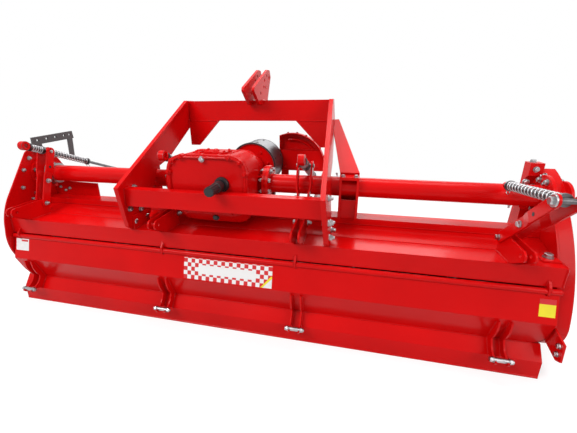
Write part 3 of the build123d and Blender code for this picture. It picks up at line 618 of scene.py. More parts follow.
# Catch pins on the board, with a bolt head and a nut outside each plate
CATCH_PIN_FACE = 28
mesh = bmesh.new()
for x in CATCH_X:
    for side in (-1, 1):
        bolt(mesh, at(x + side * CATCH_PIN_FACE, *CATCH_PIN), (side, 0, 0), 13, end=side > 0)
finish_piece("catch_pin_bolts", mesh, zinc, "tailboard")

# Cross tube flanges, gearbox necks and casting detail

mesh = bmesh.new()
flange_faces = [
    (-HALF_WIDTH + FLANGE_THICKNESS, 1), (NECK_LEFT - FLANGE_THICKNESS, -1),
    (NECK_RIGHT + FLANGE_THICKNESS, 1), (HALF_WIDTH - FLANGE_THICKNESS, -1),
]
for x, side in flange_faces:
    bolt_circle(mesh, at(x, TUBE_Y, TUBE_Z), (side, 0, 0), FLANGE_BOLT_RADIUS, 8, 14)
finish_piece("tube_flange_bolts", mesh, zinc, "frame")

NECK_RIM = [(0.4, 50), (0.4, 88), (2, 90), (14, 90), (17, 87), (24, 56), (30, 50)]
NECK_RIM_WIDTH = 17
NECK_RIB_TURNS = (35, 90, 145, 270)
NECK_RIB_THICKNESS = 9
NECK_RIB_START = GEARBOX_HALF - 36
mesh = bmesh.new()
for start, side in ((NECK_LEFT, 1), (NECK_RIGHT, -1)):
    turned(mesh, at(start, TUBE_Y, TUBE_Z), (side, 0, 0), NECK_RIM, 40, True)
    rim_x = start + side * NECK_RIM_WIDTH
    block_x = GEARBOX_X - side * NECK_RIB_START
    for turn_degrees in NECK_RIB_TURNS:
        turn = radians(turn_degrees)
        spoke = Vector((0, cos(turn), sin(turn)))
        thick = Vector((0, -sin(turn), cos(turn))) * NECK_RIB_THICKNESS
        outline = []
        for x, radius in ((block_x, 44), (rim_x, 44), (rim_x, 84), (block_x, 70)):
            outline.append(at(x, TUBE_Y, TUBE_Z) + (spoke * radius - thick / 2) * MM)
        prism(mesh, outline, thick * MM)
finish_piece("gearbox_neck_flanges", mesh, cast_paint, "frame")


def rounded_outline(half_width, half_height, corner, steps):
    """Points round a rectangle with round corners, in x and z about its centre."""
    points = []
    for quarter, (sign_x, sign_z) in enumerate(((1, 1), (-1, 1), (-1, -1), (1, -1))):
        for step in range(steps + 1):
            turn = pi / 2 * (quarter + step / steps)
            x = sign_x * (half_width - corner) + corner * cos(turn)
            z = sign_z * (half_height - corner) + corner * sin(turn)
            points.append((x, z))
    return points


def housing_ring(mesh, y, grow, radius, wave):
    """Cast rib round the gearbox housing, a little uneven front to back."""
    outline = rounded_outline(GEARBOX_HALF + grow, GEARBOX_HALF_HEIGHT + grow, HOUSING_CORNER + grow, 10)
    path = []
    for step, (x, z) in enumerate(outline):
        path.append(at(GEARBOX_X + x, y + wave * sin(1.9 * step), GEARBOX_MID + z))
    swept(mesh, path, radius, closed=True)


# Rings as (y, growth, radius, wave), cover bosses, top plate with breather and the front nose
HOUSING_CORNER = 78
HOUSING_RINGS = [(COVER_FACE + 1, -7, 6.5, 0.6), (-256, 0, 5, 1.0), (-70, -2, 5.5, 1.2)]
TOP_RIB_X = (-215, -170, -85, -40)
COVER_BOLT_INSET = 6
COVER_BOSS = [(-6, 12), (-5, 14), (22, 14)]
TOP_PLATE_Z = 875
TOP_PLATE_THICKNESS = 9
TOP_PLATE = rectangle(-190, -60, -205, -120)
BREATHER_PLACE = (-125, -162)
BREATHER = [(0, 16), (5, 15), (8, 11), (10, 8)]
NOSE_Y = 60
NOSE = [(-2, 69), (0, 84), (12, 84), (16, 76), (30, 71)]
cover_bolts = rounded_outline(GEARBOX_HALF - COVER_BOLT_INSET, GEARBOX_HALF_HEIGHT - COVER_BOLT_INSET, 72, 2)
mesh = bmesh.new()
for ring in HOUSING_RINGS:
    housing_ring(mesh, *ring)
for x in TOP_RIB_X:
    path = []
    radii = []
    for step in range(8):
        path.append(at(x + 4 * sin(1.3 * step), -250 + 26 * step, GEARBOX_MID + GEARBOX_HALF_HEIGHT - 1))
        radii.append(4.5 + sin(2.1 * step))
    swept(mesh, path, radii)
for x, z in cover_bolts:
    turned(mesh, at(GEARBOX_X + x, COVER_FACE, GEARBOX_MID + z), FORWARD, COVER_BOSS, 16)
plate(mesh, Z, TOP_PLATE_Z, TOP_PLATE_THICKNESS, TOP_PLATE)
turned(mesh, at(*BREATHER_PLACE, TOP_PLATE_Z + TOP_PLATE_THICKNESS), UP, BREATHER, 20)
turned(mesh, at(HITCH_X, NOSE_Y, SHAFT_Z), FORWARD, NOSE, 40)
finish_piece("gearbox_casting_detail", mesh, cast_paint, "frame")

# Sump under the gearbox, in levels of height, half width and half depth. The power squares its plan
SUMP_LEVELS = [(606, 188, 96), (575, 180, 88), (552, 165, 74), (542, 140, 56)]
SUMP_Y = -160
SUMP_POWER = 6
mesh = bmesh.new()
rings = []
for z, half_x, half_y in SUMP_LEVELS:
    ring = []
    for turn in turns(40):
        bulge = (abs(cos(turn)) ** SUMP_POWER + abs(sin(turn)) ** SUMP_POWER) ** (-1 / SUMP_POWER)
        x = GEARBOX_X + half_x * bulge * cos(turn)
        ring.append(mesh.verts.new(at(x, SUMP_Y + half_y * bulge * sin(turn), z)))
    rings.append(ring)
skin(mesh, rings)
finish_piece("gearbox_sump", mesh, cast_paint, "frame")

# Painted bolts of the cover, the top plate, the drum's rear flange and the housing's front
TOP_PLATE_BOLTS = rectangle(-180, -70, -195, -130)
DRUM_FLANGE_Y = 186
DRUM_FLANGE_BOLT_RADIUS = 95
HOUSING_FRONT_BOLTS = [(-266, -62, 650), (-266, -62, 790)]
mesh = bmesh.new()
for x, z in cover_bolts:
    bolt(mesh, at(GEARBOX_X + x, COVER_FACE - COVER_BOLT_INSET, GEARBOX_MID + z), BACK, 10)
for x, y in TOP_PLATE_BOLTS:
    bolt(mesh, at(x, y, TOP_PLATE_Z + TOP_PLATE_THICKNESS), UP, 8)
bolt_circle(mesh, at(HITCH_X, DRUM_FLANGE_Y, SHAFT_Z), BACK, DRUM_FLANGE_BOLT_RADIUS, 8, 10, offset=0.3)
for place in HOUSING_FRONT_BOLTS:
    bolt(mesh, at(*place), FORWARD, 12)
finish_piece("gearbox_painted_bolts", mesh, red_paint, "frame")

# Plated bolts: fill plug, housing top and both necks
FILL_PLUG = (-144, COVER_FACE - 1, 862)
HOUSING_TOP_BOLTS = [(40, -60, 800), (-30, -10, 814), (-230, -10, 814)]
NECK_BOLT_RADIUS = 74
mesh = bmesh.new()
bolt(mesh, at(*FILL_PLUG), BACK, 14)
for place in HOUSING_TOP_BOLTS:
    bolt(mesh, at(*place), UP, 12)
for x, side in ((NECK_RIGHT - NECK_RIM_WIDTH, -1), (NECK_LEFT + NECK_RIM_WIDTH, 1)):
    bolt_circle(mesh, at(x, TUBE_Y, TUBE_Z), (side, 0, 0), NECK_BOLT_RADIUS, 8, 12, end=True)
finish_piece("gearbox_plated_bolts", mesh, zinc, "frame")

DRAIN_PLUG = (-110, -246, 575)
SEAL = [(-4, 36), (6, 35), (10, 31), (14, 30)]
mesh = bmesh.new()
bolt(mesh, at(*DRAIN_PLUG), BACK, 17)
turned(mesh, at(HITCH_X, COVER_FACE, SHAFT_Z), BACK, SEAL, 32)
finish_piece("drain_plug_and_shaft_seal", mesh, black_steel, "frame")


def splines(mesh, start, end, root, height, count):
    """Straight teeth along the through shaft."""
    half_tooth = root * sin(pi / count) * 0.95
    for turn in turns(count):
        out = Vector((cos(turn), 0, sin(turn)))
        side = Vector((-sin(turn), 0, cos(turn)))
        outline = []
        for rise, across in ((-1, -1), (height, -0.7), (height, 0.7), (-1, 1)):
            place = out * (root + rise) + side * half_tooth * across
            outline.append(at(HITCH_X, start, SHAFT_Z) + place * MM)
        prism(mesh, outline, at(0, end - start, 0))


# Teeth at both ends of the shaft, and the plain sleeve in front of the rear ones
SLEEVE_REAR = -350
STUB_SLEEVE = [(0, 22.5), (2, 24), (46, 24), (48, 22.5)]
mesh = bmesh.new()
splines(mesh, start=268, end=343, root=17.4, height=2.6, count=8)
splines(mesh, start=-417, end=SLEEVE_REAR, root=20, height=2, count=10)
turned(mesh, at(HITCH_X, SLEEVE_REAR, SHAFT_Z), FORWARD, STUB_SLEEVE, 32)
finish_piece("shaft_splines", mesh, black_steel, "input_shaft")

# The drum's rims and small screws
DRUM_RADIUS = 138.6
DRUM_SCREW = [(0, 6), (2.4, 6), (3.4, 4.6)]
DRUM_SCREW_Y = (215, 345)
DRUM_RIM_RADIUS = 137.5
DRUM_RIM_Y = (176.5, 384.5)
mesh = bmesh.new()
for turn_degrees in range(20, 360, 60):
    turn = radians(turn_degrees)
    out = Vector((cos(turn), 0, sin(turn)))
    for y in DRUM_SCREW_Y:
        turned(mesh, at(HITCH_X, y, SHAFT_Z) + out * DRUM_RADIUS * MM, out, DRUM_SCREW, 14)
for y in DRUM_RIM_Y:
    rim = []
    for turn in turns(64):
        rim.append(at(HITCH_X + DRUM_RIM_RADIUS * cos(turn), y, SHAFT_Z + DRUM_RIM_RADIUS * sin(turn)))
    swept(mesh, rim, 3, closed=True)
finish_piece("drum_rims_and_screws", mesh, black_steel, "frame")

# Arched guard: rim bead, inner panels and rim bolts
GUARD_X = 140
GUARD_Z = 715
GUARD_RADIUS = 212
GUARD_REAR = 392
GUARD_FOOT = 693
GUARD_ARCH_END = 112
GUARD_BOLT_Y = 420
PANEL_Y = 404
PANEL_THICKNESS = 4
PANEL = [(66, 697), (344, 697), (344, 760), (318, 822), (66, 822)]
SHELF_Z = 820
SHELF = rectangle(66, 318, PANEL_Y, 442)
INNER_ARCH_RADIUS = 170
INNER_ARCH_Y = 428


def guard_point(radius, y, turn_degrees):
    turn = radians(turn_degrees)
    return at(GUARD_X + radius * cos(turn), y, GUARD_Z + radius * sin(turn))


rim_radius = GUARD_RADIUS - 3
mesh = bmesh.new()
path = [guard_point(rim_radius, GUARD_REAR + 2, turn) for turn in spread(GUARD_ARCH_END, 0, 41)]
path.append(at(GUARD_X + rim_radius, GUARD_REAR + 2, GUARD_FOOT))
swept(mesh, path, 4.2)
plate(mesh, Y, PANEL_Y, PANEL_THICKNESS, PANEL)
plate(mesh, Z, SHELF_Z, PANEL_THICKNESS, SHELF)
swept(mesh, [guard_point(INNER_ARCH_RADIUS, INNER_ARCH_Y, turn) for turn in spread(100, 30, 13)], 7)
finish_piece("guard_panels", mesh, red_paint, "frame")

mesh = bmesh.new()
for turn_degrees in range(18, 99, 16):
    turn = radians(turn_degrees)
    bolt(mesh, guard_point(GUARD_RADIUS - 0.5, GUARD_BOLT_Y, turn_degrees), (cos(turn), 0, sin(turn)), 8)
for x in (95, 200, 300):
    bolt(mesh, at(x, PANEL_Y, GUARD_Z), BACK, 8)
finish_piece("guard_bolts", mesh, red_paint, "frame")

# Hitch plates, channel and top beam: bolts and weld beads
HITCH_BOLTS = [(-279, 711), (-320, 612), (-294, 537), (-240, 588), (-205, 537)]


def plate_x(side, z, inset=0):
    """x of a hitch plate's outer face at a height, or of a line inset from it."""
    share = (z - BEAM_TOP) / (HITCH_TOP - BEAM_TOP)
    half = HITCH_FOOT_HALF - share * (HITCH_FOOT_HALF - HITCH_TOP_HALF)
    return HITCH_X + side * (half - inset)


mesh = bmesh.new()
for side in (-1, 1):
    for y, z in HITCH_BOLTS:
        bolt(mesh, at(plate_x(side, z, PLATE_THICKNESS), y, z), (-side, 0, 0), 16)
        bolt(mesh, at(plate_x(side, z), y, z), (side, 0, 0), 16, end=True)
finish_piece("hitch_bolts", mesh, zinc, "frame")

# Beads inside each plate: upright as (y, low, high, radius), level as (z, rear, front, inset, radius)
INNER_FACE = PLATE_THICKNESS + 1
UPRIGHT_BEADS = [
    (286, 1006, 1120, 3.4),
    (370, 1006, 1120, 3.4),
    (-350, 638, 718, 3.2),
    (-301, 716, 720, 3.2),
]
LEVEL_BEADS = [
    (1007, 286, 370, INNER_FACE, 3.4),
    (1119, 286, 370, INNER_FACE, 3.4),
    (720, -348, -302, INNER_FACE, 3.2),
    (BEAM_TOP, BEAM_REAR + 4, BEAM_FRONT - 4, PLATE_THICKNESS + 10, 4),
]

# Beads of the corner gussets, and (y, z) ends of those round the top link lugs
GUSSET_FACE = PLATE_THICKNESS + 2
GUSSET_Y = 283
GUSSET_LOW = 960
GUSSET_HIGH = 1004
GUSSET_RUN = 200
LUG_OUT = 29
LUG_HALF = 8
LUG_BEADS = [((285, HITCH_TOP + 0.5), (371, HITCH_TOP + 0.5)), ((282, 1097), (282, 1120))]
mesh = bmesh.new()
for side in (-1, 1):
    for y, low, high, radius in UPRIGHT_BEADS:
        foot = at(plate_x(side, low, INNER_FACE), y, low)
        bead(mesh, foot, at(plate_x(side, high, INNER_FACE), y, high), radius)
    for z, rear, front, inset, radius in LEVEL_BEADS:
        x = plate_x(side, z, inset)
        bead(mesh, at(x, rear, z), at(x, front, z), radius)
    low_x = plate_x(side, GUSSET_LOW, GUSSET_FACE)
    high_x = plate_x(side, GUSSET_HIGH, GUSSET_FACE)
    end_x = high_x - side * GUSSET_RUN
    bead(mesh, at(low_x, GUSSET_Y, GUSSET_LOW), at(high_x, GUSSET_Y, GUSSET_HIGH - 1))
    bead(mesh, at(high_x, GUSSET_Y, GUSSET_HIGH), at(end_x, GUSSET_Y, GUSSET_HIGH))
    for face in (-LUG_HALF, LUG_HALF):
        x = HITCH_X + side * LUG_OUT + face
        for start, end in LUG_BEADS:
            bead(mesh, at(x, *start), at(x, *end), 4)
finish_piece("hitch_welds", mesh, weld_paint, "frame", ROUND_CREASE)

# Weld beads along the beams, arm feet, side plates and hinge lugs
INNER_END = HALF_WIDTH - 1
MID_BEAM_SEAM = 532
ARM_STRAP_OUT = 16.7
ARM_STRAP_HALF = 4.5
HINGE_LUG_X = (-1290, -383, 296, 1290)
HINGE_LUG_HALF = 5
HINGE_LUG_Z = (418, 442)

# Beads at the beams' ends as (y, z) ends, and seams along the beams as (y, z, radius)
END_BEADS = [
    ((BEAM_REAR + 3, BEAM_TOP), (BEAM_FRONT - 3, BEAM_TOP)),
    ((BEAM_REAR, BEAM_TOP - 3), (BEAM_REAR, 416)),
    ((MID_BEAM_REAR + 3, MID_BEAM_TOP), (MID_BEAM_FRONT - 3, MID_BEAM_TOP)),
]
SEAMS = [
    (BEAM_FRONT + 1, BEAM_TOP, 3.0),
    (MID_BEAM_REAR, MID_BEAM_SEAM, 3.2),
    (MID_BEAM_FRONT, MID_BEAM_SEAM, 3.2),
]
mesh = bmesh.new()
for x in (-INNER_END, INNER_END):
    for start, end in END_BEADS:
        bead(mesh, at(x, *start), at(x, *end), 3.6)
for y, z, radius in SEAMS:
    bead(mesh, at(-INNER_END, y, z), at(INNER_END, y, z), radius, SEAM_PITCH)
for x, *_ in RODS.values():
    for edge in (-ARM_STRAP_OUT, ARM_STRAP_OUT):
        for face in (-ARM_STRAP_HALF, ARM_STRAP_HALF):
            foot_x = x + edge + face
            bead(mesh, at(foot_x, BEAM_REAR + 6, BEAM_TOP + 1), at(foot_x, BEAM_FRONT - 4, BEAM_TOP + 1), 3.4)
for x in HINGE_LUG_X:
    for face in (-HINGE_LUG_HALF, HINGE_LUG_HALF):
        low, high = (at(x + face, BEAM_REAR, z) for z in HINGE_LUG_Z)
        bead(mesh, low, high, 2.8)
finish_piece("frame_welds", mesh, weld_paint, "frame", ROUND_CREASE)

# Side bolts at their (y, z) places
PLATE_BOLTS = [
    (-121, 807), (-169, 745), (-199, 647), (-132, 598),
    (-158, 568), (40, 800), (90, 690), (140, 600),
]
POST_BOLTS = [(-46, 762), (-18, 790), (-110, 641)]
CASE_BOLTS = [
    (-18, 770), (-75, 690), (-150, 590), (-208, 480), (-252, 365), (-278, 250), (-225, 140), (-110, 118),
    (30, 118), (120, 160), (180, 280), (192, 400), (180, 510), (160, 615), (112, 735), (50, 785),
]
CORNER_BOLTS = [(-372, 196), (-372, 158)]
CASE_FACE = 1400
CORNER_FACE = 1348
HUB_FACE = 1374
CASE_HUB_FACE = 1403.5

# Rows of side bolts as (x, way the heads point, size, thread end, places)
SIDE_ROWS = [
    (-HALF_WIDTH, 1, 12, True, PLATE_BOLTS),
    (-HALF_WIDTH - 8, -1, 12, False, PLATE_BOLTS),
    (HALF_WIDTH, -1, 15, True, POST_BOLTS),
    (CASE_FACE, 1, 12, False, CASE_BOLTS),
    (CORNER_FACE, -1, 12, False, CORNER_BOLTS),
]

# Single bolts of the end post, the left end plate and the right foot as (place, axis, size)
SINGLE_BOLTS = [
    ((1282, 3, 757), BACK, 15),
    ((1310, 3, 815), BACK, 13),
    ((1304, 30, 842), UP, 14),
    ((-1296, 0.3, 606), BACK, 11),
    ((-1262, 0.3, 586), BACK, 11),
    ((-1228, 0.3, 600), BACK, 11),
    ((1306, -236, 505), UP, 20),
]
mesh = bmesh.new()
for x, way, size, end, places in SIDE_ROWS:
    for y, z in places:
        bolt(mesh, at(x, y, z), (way, 0, 0), size, end)
bolt_circle(mesh, at(-HUB_FACE, ROTOR_Y, ROTOR_Z), (-1, 0, 0), 83, 6, 12)
bolt_circle(mesh, at(CASE_HUB_FACE, ROTOR_Y, ROTOR_Z), (1, 0, 0), 80, 6, 9)
for place, axis, size in SINGLE_BOLTS:
    bolt(mesh, at(*place), axis, size)
finish_piece("side_bolts", mesh, zinc, "frame")


def smooth_loop(points, parts):
    """Smooth closed path through the points, with so many parts between two of them."""
    path = []
    total = len(points)
    for step in range(total):
        before, here = points[step - 1], points[step]
        after, later = points[(step + 1) % total], points[(step + 2) % total]
        slope = after - before
        bend = 2 * before - 5 * here + 4 * after - later
        twist = 3 * here - before - 3 * after + later
        for part in range(parts):
            t = part / parts
            path.append(0.5 * (2 * here + slope * t + bend * t ** 2 + twist * t ** 3))
    return path


# Right corner bracket and foot, and the gear case's cap and rib
RIGHT_FOOT = rectangle(1272, 1338, -272, -200)
LOWER_BRACKET = [(-250, 250), (-330, 236), (-392, 215), (-398, 140), (-372, 128), (-270, 160)]
CASE_CAP = [(0, 46), (5, 46), (8, 40), (9, 14), (11, 12)]
CASE_RIB = [
    (-9, 740), (-64, 655), (-137, 560), (-190, 462), (-232, 355), (-256, 245), (-215, 158), (-105, 136),
    (30, 136), (108, 172), (164, 285), (176, 400), (164, 505), (144, 600), (98, 715), (45, 760),
]
mesh = bmesh.new()
plate(mesh, Z, BEAM_TOP, 7, RIGHT_FOOT)
plate(mesh, X, CORNER_FACE, 8, LOWER_BRACKET)
turned(mesh, at(CASE_FACE, TUBE_Y + 150, TUBE_Z - 260), (1, 0, 0), CASE_CAP, 36)
swept(mesh, smooth_loop([at(CASE_FACE, y, z) for y, z in CASE_RIB], 6), 5, closed=True)
finish_piece("side_brackets_and_ribs", mesh, red_paint, "frame")

# Tailboard: seam, catch plate welds, hem and end gussets
CATCH_PLATE_OUT = 23
CATCH_PLATE_HALF = 4.6
SEAM_HALF = BOARD_HALF - 52
notch_y, notch_z = BOARD_NOTCH
catch_beads = [((-347.5, 257), (notch_y - 2, 144)), ((notch_y - 2, 141), (-342, 88))]
mesh = bmesh.new()
bead(mesh, at(-SEAM_HALF, notch_y - 1.5, notch_z), at(SEAM_HALF, notch_y - 1.5, notch_z), 3.0, SEAM_PITCH)
for catch in CATCH_X:
    for edge in (-CATCH_PLATE_OUT, CATCH_PLATE_OUT):
        for face in (-CATCH_PLATE_HALF, CATCH_PLATE_HALF):
            x = catch + edge + face
            for start, end in catch_beads:
                bead(mesh, at(x, *start), at(x, *end))
finish_piece("tailboard_welds", mesh, weld_paint, "tailboard", ROUND_CREASE)

END_GUSSET = [(-296, 142), (-336, 84), (-339, 6), (-300, 14), (-262, 60), (-262, 128)]
HEM_HALF = 1329
HEM_RADIUS = 5
mesh = bmesh.new()
for x in (-HEM_HALF, 1323):
    plate(mesh, X, x, 6, END_GUSSET)
hem = [at(x, BOARD_FOOT[0] + 2.5, 5.2) for x in spread(-HEM_HALF, HEM_HALF, 9)]
swept(mesh, hem, HEM_RADIUS, 10)
finish_piece("tailboard_hem_and_gussets", mesh, red_paint, "tailboard")

# Stickers on the upper board, all without lettering
board_fall = Vector((0, BOARD_BEND[0] - BOARD_TOP[0], BOARD_BEND[1] - BOARD_TOP[1])).normalized()
board_out = Vector((0, board_fall.z, -board_fall.y))
FILM_START = 0.05


def on_board(x, z):
    """A point just off the upper board's outer face, below a film."""
    share = (BOARD_TOP[1] - z) / (BOARD_TOP[1] - BOARD_BEND[1])
    y = BOARD_TOP[0] + share * (BOARD_BEND[0] - BOARD_TOP[0])
    return at(x, y, z) + board_out * FILM_START * MM


def board_patch(name, corners, material, proud):
    """A thin film on the board with the given (x, z) corners."""
    mesh = bmesh.new()
    prism(mesh, [on_board(x, z) for x, z in corners], board_out * (proud - FILM_START) * MM)
    finish_piece(name, mesh, material, "tailboard")


BANNER_X = (-262, 191)
BANNER_Z = (277, 378)
BANNER_SQUARES = 23
BANNER_PANEL = (0.148, 0.021)
banner_centre = (sum(BANNER_X) / 2 * MM, sum(BANNER_Z) / 2 * MM)
banner_half = ((BANNER_X[1] - BANNER_X[0]) / 2 * MM, (BANNER_Z[1] - BANNER_Z[0]) / 2 * MM)
banner_square = (BANNER_X[1] - BANNER_X[0]) / BANNER_SQUARES * MM
banner_film = chequered_sticker("chequered_film", banner_centre, banner_half, banner_square, BANNER_PANEL)
white_film = sticker("white_film", STICKER_WHITE)
red_film = sticker("red_film", STICKER_RED)
yellow_film = sticker("yellow_film", STICKER_YELLOW)

# Each film's name, (x, z) corners, material and how far its face stands out
FILMS = [
    ("banner_film", rectangle(*BANNER_X, *BANNER_Z), banner_film, 0.5),
    ("banner_corner_yellow", [(136, 277), (191, 277), (191, 332), (186, 332)], yellow_film, 0.7),
    ("banner_corner_white", [(146, 277), (191, 277), (191, 322)], white_film, 0.9),
    ("left_label_film", rectangle(-1321, -1233, 318, 382), white_film, 0.5),
    ("left_label_bar", rectangle(-1284, -1239, 367, 377), red_film, 0.7),
    ("right_label_film", rectangle(1267, 1323, 300, 368), yellow_film, 0.5),
    ("right_label_header", rectangle(1267, 1323, 348, 368), red_film, 0.7),
]
for film in FILMS:
    board_patch(*film)

# Rotor: two bolts through the root of every blade
BLADES = 6
FLANGES = 12
FLANGE_MARGIN = 105
FLANGE_HALF = 5
FIRST_BLADE = 15
BLADE_STAGGER = 30
BLADE_BOLT_RADIUS = 76
BLADE_BOLT_HALF_GAP = 11
first_flange = HALF_WIDTH - FLANGE_MARGIN
mesh = bmesh.new()
for flange, x in enumerate(spread(-first_flange, first_flange, FLANGES)):
    for blade in range(BLADES):
        turn = radians(FIRST_BLADE + BLADE_STAGGER * (flange % 2) + 360 / BLADES * blade)
        out = Vector((0, cos(turn), sin(turn))) * BLADE_BOLT_RADIUS
        tangent = Vector((0, -sin(turn), cos(turn))) * BLADE_BOLT_HALF_GAP
        for sideways in (-1, 1):
            for face in (-1, 1):
                place = at(x + face * FLANGE_HALF, ROTOR_Y, ROTOR_Z) + (out + tangent * sideways) * MM
                bolt(mesh, place, (face, 0, 0), 9)
finish_piece("rotor_blade_bolts", mesh, zinc, "rotor")

# Lower link pins: linch pins with rings
LINK_PIN_Y = 470
LINK_PIN_Z = 618
LINCH_PIN_OUT = 482
LINCH_PIN = [(0, 4), (44, 4), (46, 7), (52, 7), (54, 4)]
LINCH_RING_OUT = 488
LINCH_RING_Z = 646
LINCH_RING_RADIUS = 20
mesh = bmesh.new()
for side in (-1, 1):
    turned(mesh, at(HITCH_X + side * LINCH_PIN_OUT, LINK_PIN_Y, LINK_PIN_Z), UP, LINCH_PIN, 12)
    ring = []
    for turn in turns(24):
        y = LINK_PIN_Y + LINCH_RING_RADIUS * sin(turn)
        ring.append(at(HITCH_X + side * LINCH_RING_OUT, y, LINCH_RING_Z + LINCH_RING_RADIUS * cos(turn)))
    swept(mesh, ring, CLIP_WIRE, 6, True)
finish_piece("lower_link_linch_pins", mesh, zinc, "frame")

# Webs that close the saddles below the tube, saddle bolts and grease points
SADDLE_OUT = 568
WEB_HALF = 34
WEB_TOP = 655
WEB_Y = (-100, 4)
SADDLE_BOLT_Z = 769.5
SADDLE_BOLTS = rectangle(-30, 30, -105, 15)
GREASE_NIPPLE = [(-1, 6), (4, 6), (5, 3.4), (9, 3.4), (10, 4.4), (13, 4.4), (15, 2.2)]
GREASE_POINTS = [
    ((1216, TUBE_Y, 661), -UP),
    ((-1257, TUBE_Y, 768), UP),
    ((-HUB_FACE, ROTOR_Y, 325), (-1, 0, 0)),
]
saddles = (HITCH_X - SADDLE_OUT, HITCH_X + SADDLE_OUT)
mesh = bmesh.new()
for x in saddles:
    for y in WEB_Y:
        plate(mesh, Y, y, 8, rectangle(x - WEB_HALF, x + WEB_HALF, MID_BEAM_TOP, WEB_TOP))
finish_piece("saddle_webs", mesh, red_paint, "frame")

mesh = bmesh.new()
for x in saddles:
    for across, y in SADDLE_BOLTS:
        bolt(mesh, at(x + across, y, SADDLE_BOLT_Z), UP, 12)
for place, axis in GREASE_POINTS:
    turned(mesh, at(*place), axis, GREASE_NIPPLE, 14)
finish_piece("saddle_bolts_and_grease_points", mesh, zinc, "frame")


# Stage


def area_light(name, place, target, size, power):
    light = bpy.data.lights.new(name, "AREA")
    light.shape = "RECTANGLE"
    light.size, light.size_y = size
    light.energy = power
    lamp = bpy.data.objects.new(name, light)
    lamp.location = place
    lamp.rotation_euler = (Vector(target) - Vector(place)).to_track_quat("-Z", "Y").to_euler()
    bpy.context.collection.objects.link(lamp)


def seen_direct_or_mirrored(tree):
    """1 for camera, glossy and transmission rays."""
    path = tree.nodes.new("ShaderNodeLightPath")
    seen = math_node(tree, "MAXIMUM", path.outputs["Is Camera Ray"], path.outputs["Is Glossy Ray"])
    return math_node(tree, "MAXIMUM", seen, path.outputs["Is Transmission Ray"])


def mixed(tree, factor, first, second):
    node = tree.nodes.new("ShaderNodeMixShader")
    tree.links.new(factor, node.inputs["Fac"])
    tree.links.new(first, node.inputs[1])
    tree.links.new(second, node.inputs[2])
    return node.outputs["Shader"]


def glow(tree, strength):
    node = tree.nodes.new("ShaderNodeEmission")
    node.inputs["Strength"].default_value = strength
    return node.outputs["Emission"]


# The world lights the part with a dim blueish white, and is pure white where it is seen
WORLD_COLOUR = (0.96, 0.98, 1.0, 1.0)
WORLD_STRENGTH = 0.42
PURE_WHITE = (1.0, 1.0, 1.0, 1.0)
world = bpy.data.worlds.new("studio")
bpy.context.scene.world = world
world.use_nodes = True
tree = world.node_tree
background = tree.nodes["Background"]
background.inputs["Color"].default_value = WORLD_COLOUR
background.inputs["Strength"].default_value = WORLD_STRENGTH
white = tree.nodes.new("ShaderNodeBackground")
white.inputs["Color"].default_value = PURE_WHITE
white.inputs["Strength"].default_value = 1.0
seen = seen_direct_or_mirrored(tree)
sky = mixed(tree, seen, background.outputs["Background"], white.outputs["Background"])
tree.links.new(sky, tree.nodes["World Output"].inputs["Surface"])

# Floor, in metres
FLOOR_SIZE = 60
FLOOR_DROP = 0.0005
FLOOR_LIFT = 0.6
FLOOR_TONES = [(0.3, (0.5, 0.5, 0.5)), (0.7, (0.52, 0.52, 0.52))]
FADE_START = 1.6
FADE_END = 3.0


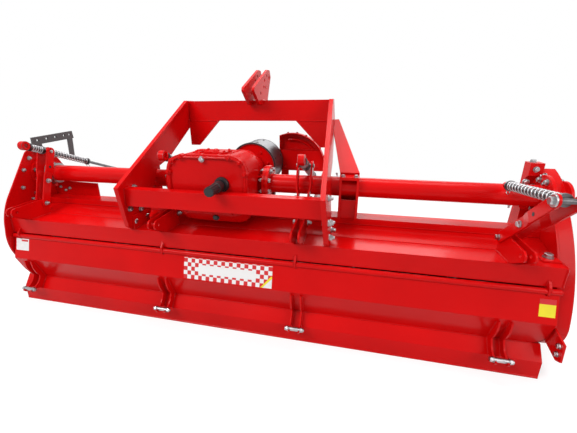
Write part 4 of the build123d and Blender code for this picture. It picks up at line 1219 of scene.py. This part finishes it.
def white_floor(name):
    """Pale floor under soft shadows, which fades to pure white away from the part."""
    material, tree, shader = new_material(name)
    speck = noise(tree, 1.5)
    tree.links.new(ramp(tree, speck.outputs["Fac"], FLOOR_TONES), shader.inputs["Base Color"])
    shader.inputs["Roughness"].default_value = 0.9
    shader.inputs["Specular IOR Level"].default_value = 0.0
    lifted = tree.nodes.new("ShaderNodeAddShader")
    tree.links.new(shader.outputs["BSDF"], lifted.inputs[0])
    tree.links.new(glow(tree, FLOOR_LIFT), lifted.inputs[1])
    place = tree.nodes.new("ShaderNodeTexCoord")
    distance = tree.nodes.new("ShaderNodeVectorMath")
    distance.operation = "LENGTH"
    tree.links.new(place.outputs["Object"], distance.inputs[0])
    far = tree.nodes.new("ShaderNodeMapRange")
    far.inputs["From Min"].default_value = FADE_START
    far.inputs["From Max"].default_value = FADE_END
    tree.links.new(distance.outputs["Value"], far.inputs["Value"])
    faded = mixed(tree, far.outputs["Result"], lifted.outputs["Shader"], glow(tree, 1.0))
    by_ray = mixed(tree, seen_direct_or_mirrored(tree), shader.outputs["BSDF"], faded)
    tree.links.new(by_ray, tree.nodes["Material Output"].inputs["Surface"])
    return material


bpy.ops.mesh.primitive_plane_add(size=FLOOR_SIZE, location=(0, 0, -FLOOR_DROP))
floor = bpy.context.object
floor.name = "studio_floor"
floor.data.materials.append(white_floor("floor_white"))

# Soft lights as name, place, target, size and watts
LIGHTS = [
    ("key", (-2.2, -3.4, 4.0), (0, 0, 0.5), (2.6, 1.8), 165),
    ("fill", (3.6, -2.6, 2.4), (0, 0, 0.5), (2.2, 1.8), 60),
    ("top", (0.2, 0.8, 4.2), (0, 0, 0.5), (4.0, 1.6), 110),
    ("back", (0.5, 4.0, 2.8), (0, 0, 0.6), (3.5, 1.5), 60),
]
for light in LIGHTS:
    area_light(*light)

# Camera
yaw = radians(CAMERA_YAW)
pitch = radians(CAMERA_PITCH)
roll = radians(CAMERA_ROLL)
forward = Vector((-sin(yaw) * cos(pitch), cos(yaw) * cos(pitch), -sin(pitch)))
level_right = Vector((cos(yaw), sin(yaw), 0))
level_up = level_right.cross(forward)
right = level_right * cos(roll) + level_up * sin(roll)
up = level_up * cos(roll) - level_right * sin(roll)
camera_data = bpy.data.cameras.new("photo_camera")
camera = bpy.data.objects.new("photo_camera", camera_data)
bpy.context.collection.objects.link(camera)
camera.matrix_world = Matrix.Translation(CAMERA_PLACE) @ Matrix((right, up, -forward)).transposed().to_4x4()
camera_data.sensor_width = SENSOR_MM
camera_data.lens = CAMERA_FOCAL_PX / IMAGE_WIDTH * SENSOR_MM
camera_data.shift_x = (IMAGE_WIDTH / 2 - CAMERA_CENTRE_PX[0]) / IMAGE_WIDTH
camera_data.shift_y = (CAMERA_CENTRE_PX[1] - IMAGE_HEIGHT / 2) / IMAGE_WIDTH
camera_data.clip_end = 90
bpy.context.scene.camera = camera
bpy.context.scene.view_settings.view_transform = "Standard"
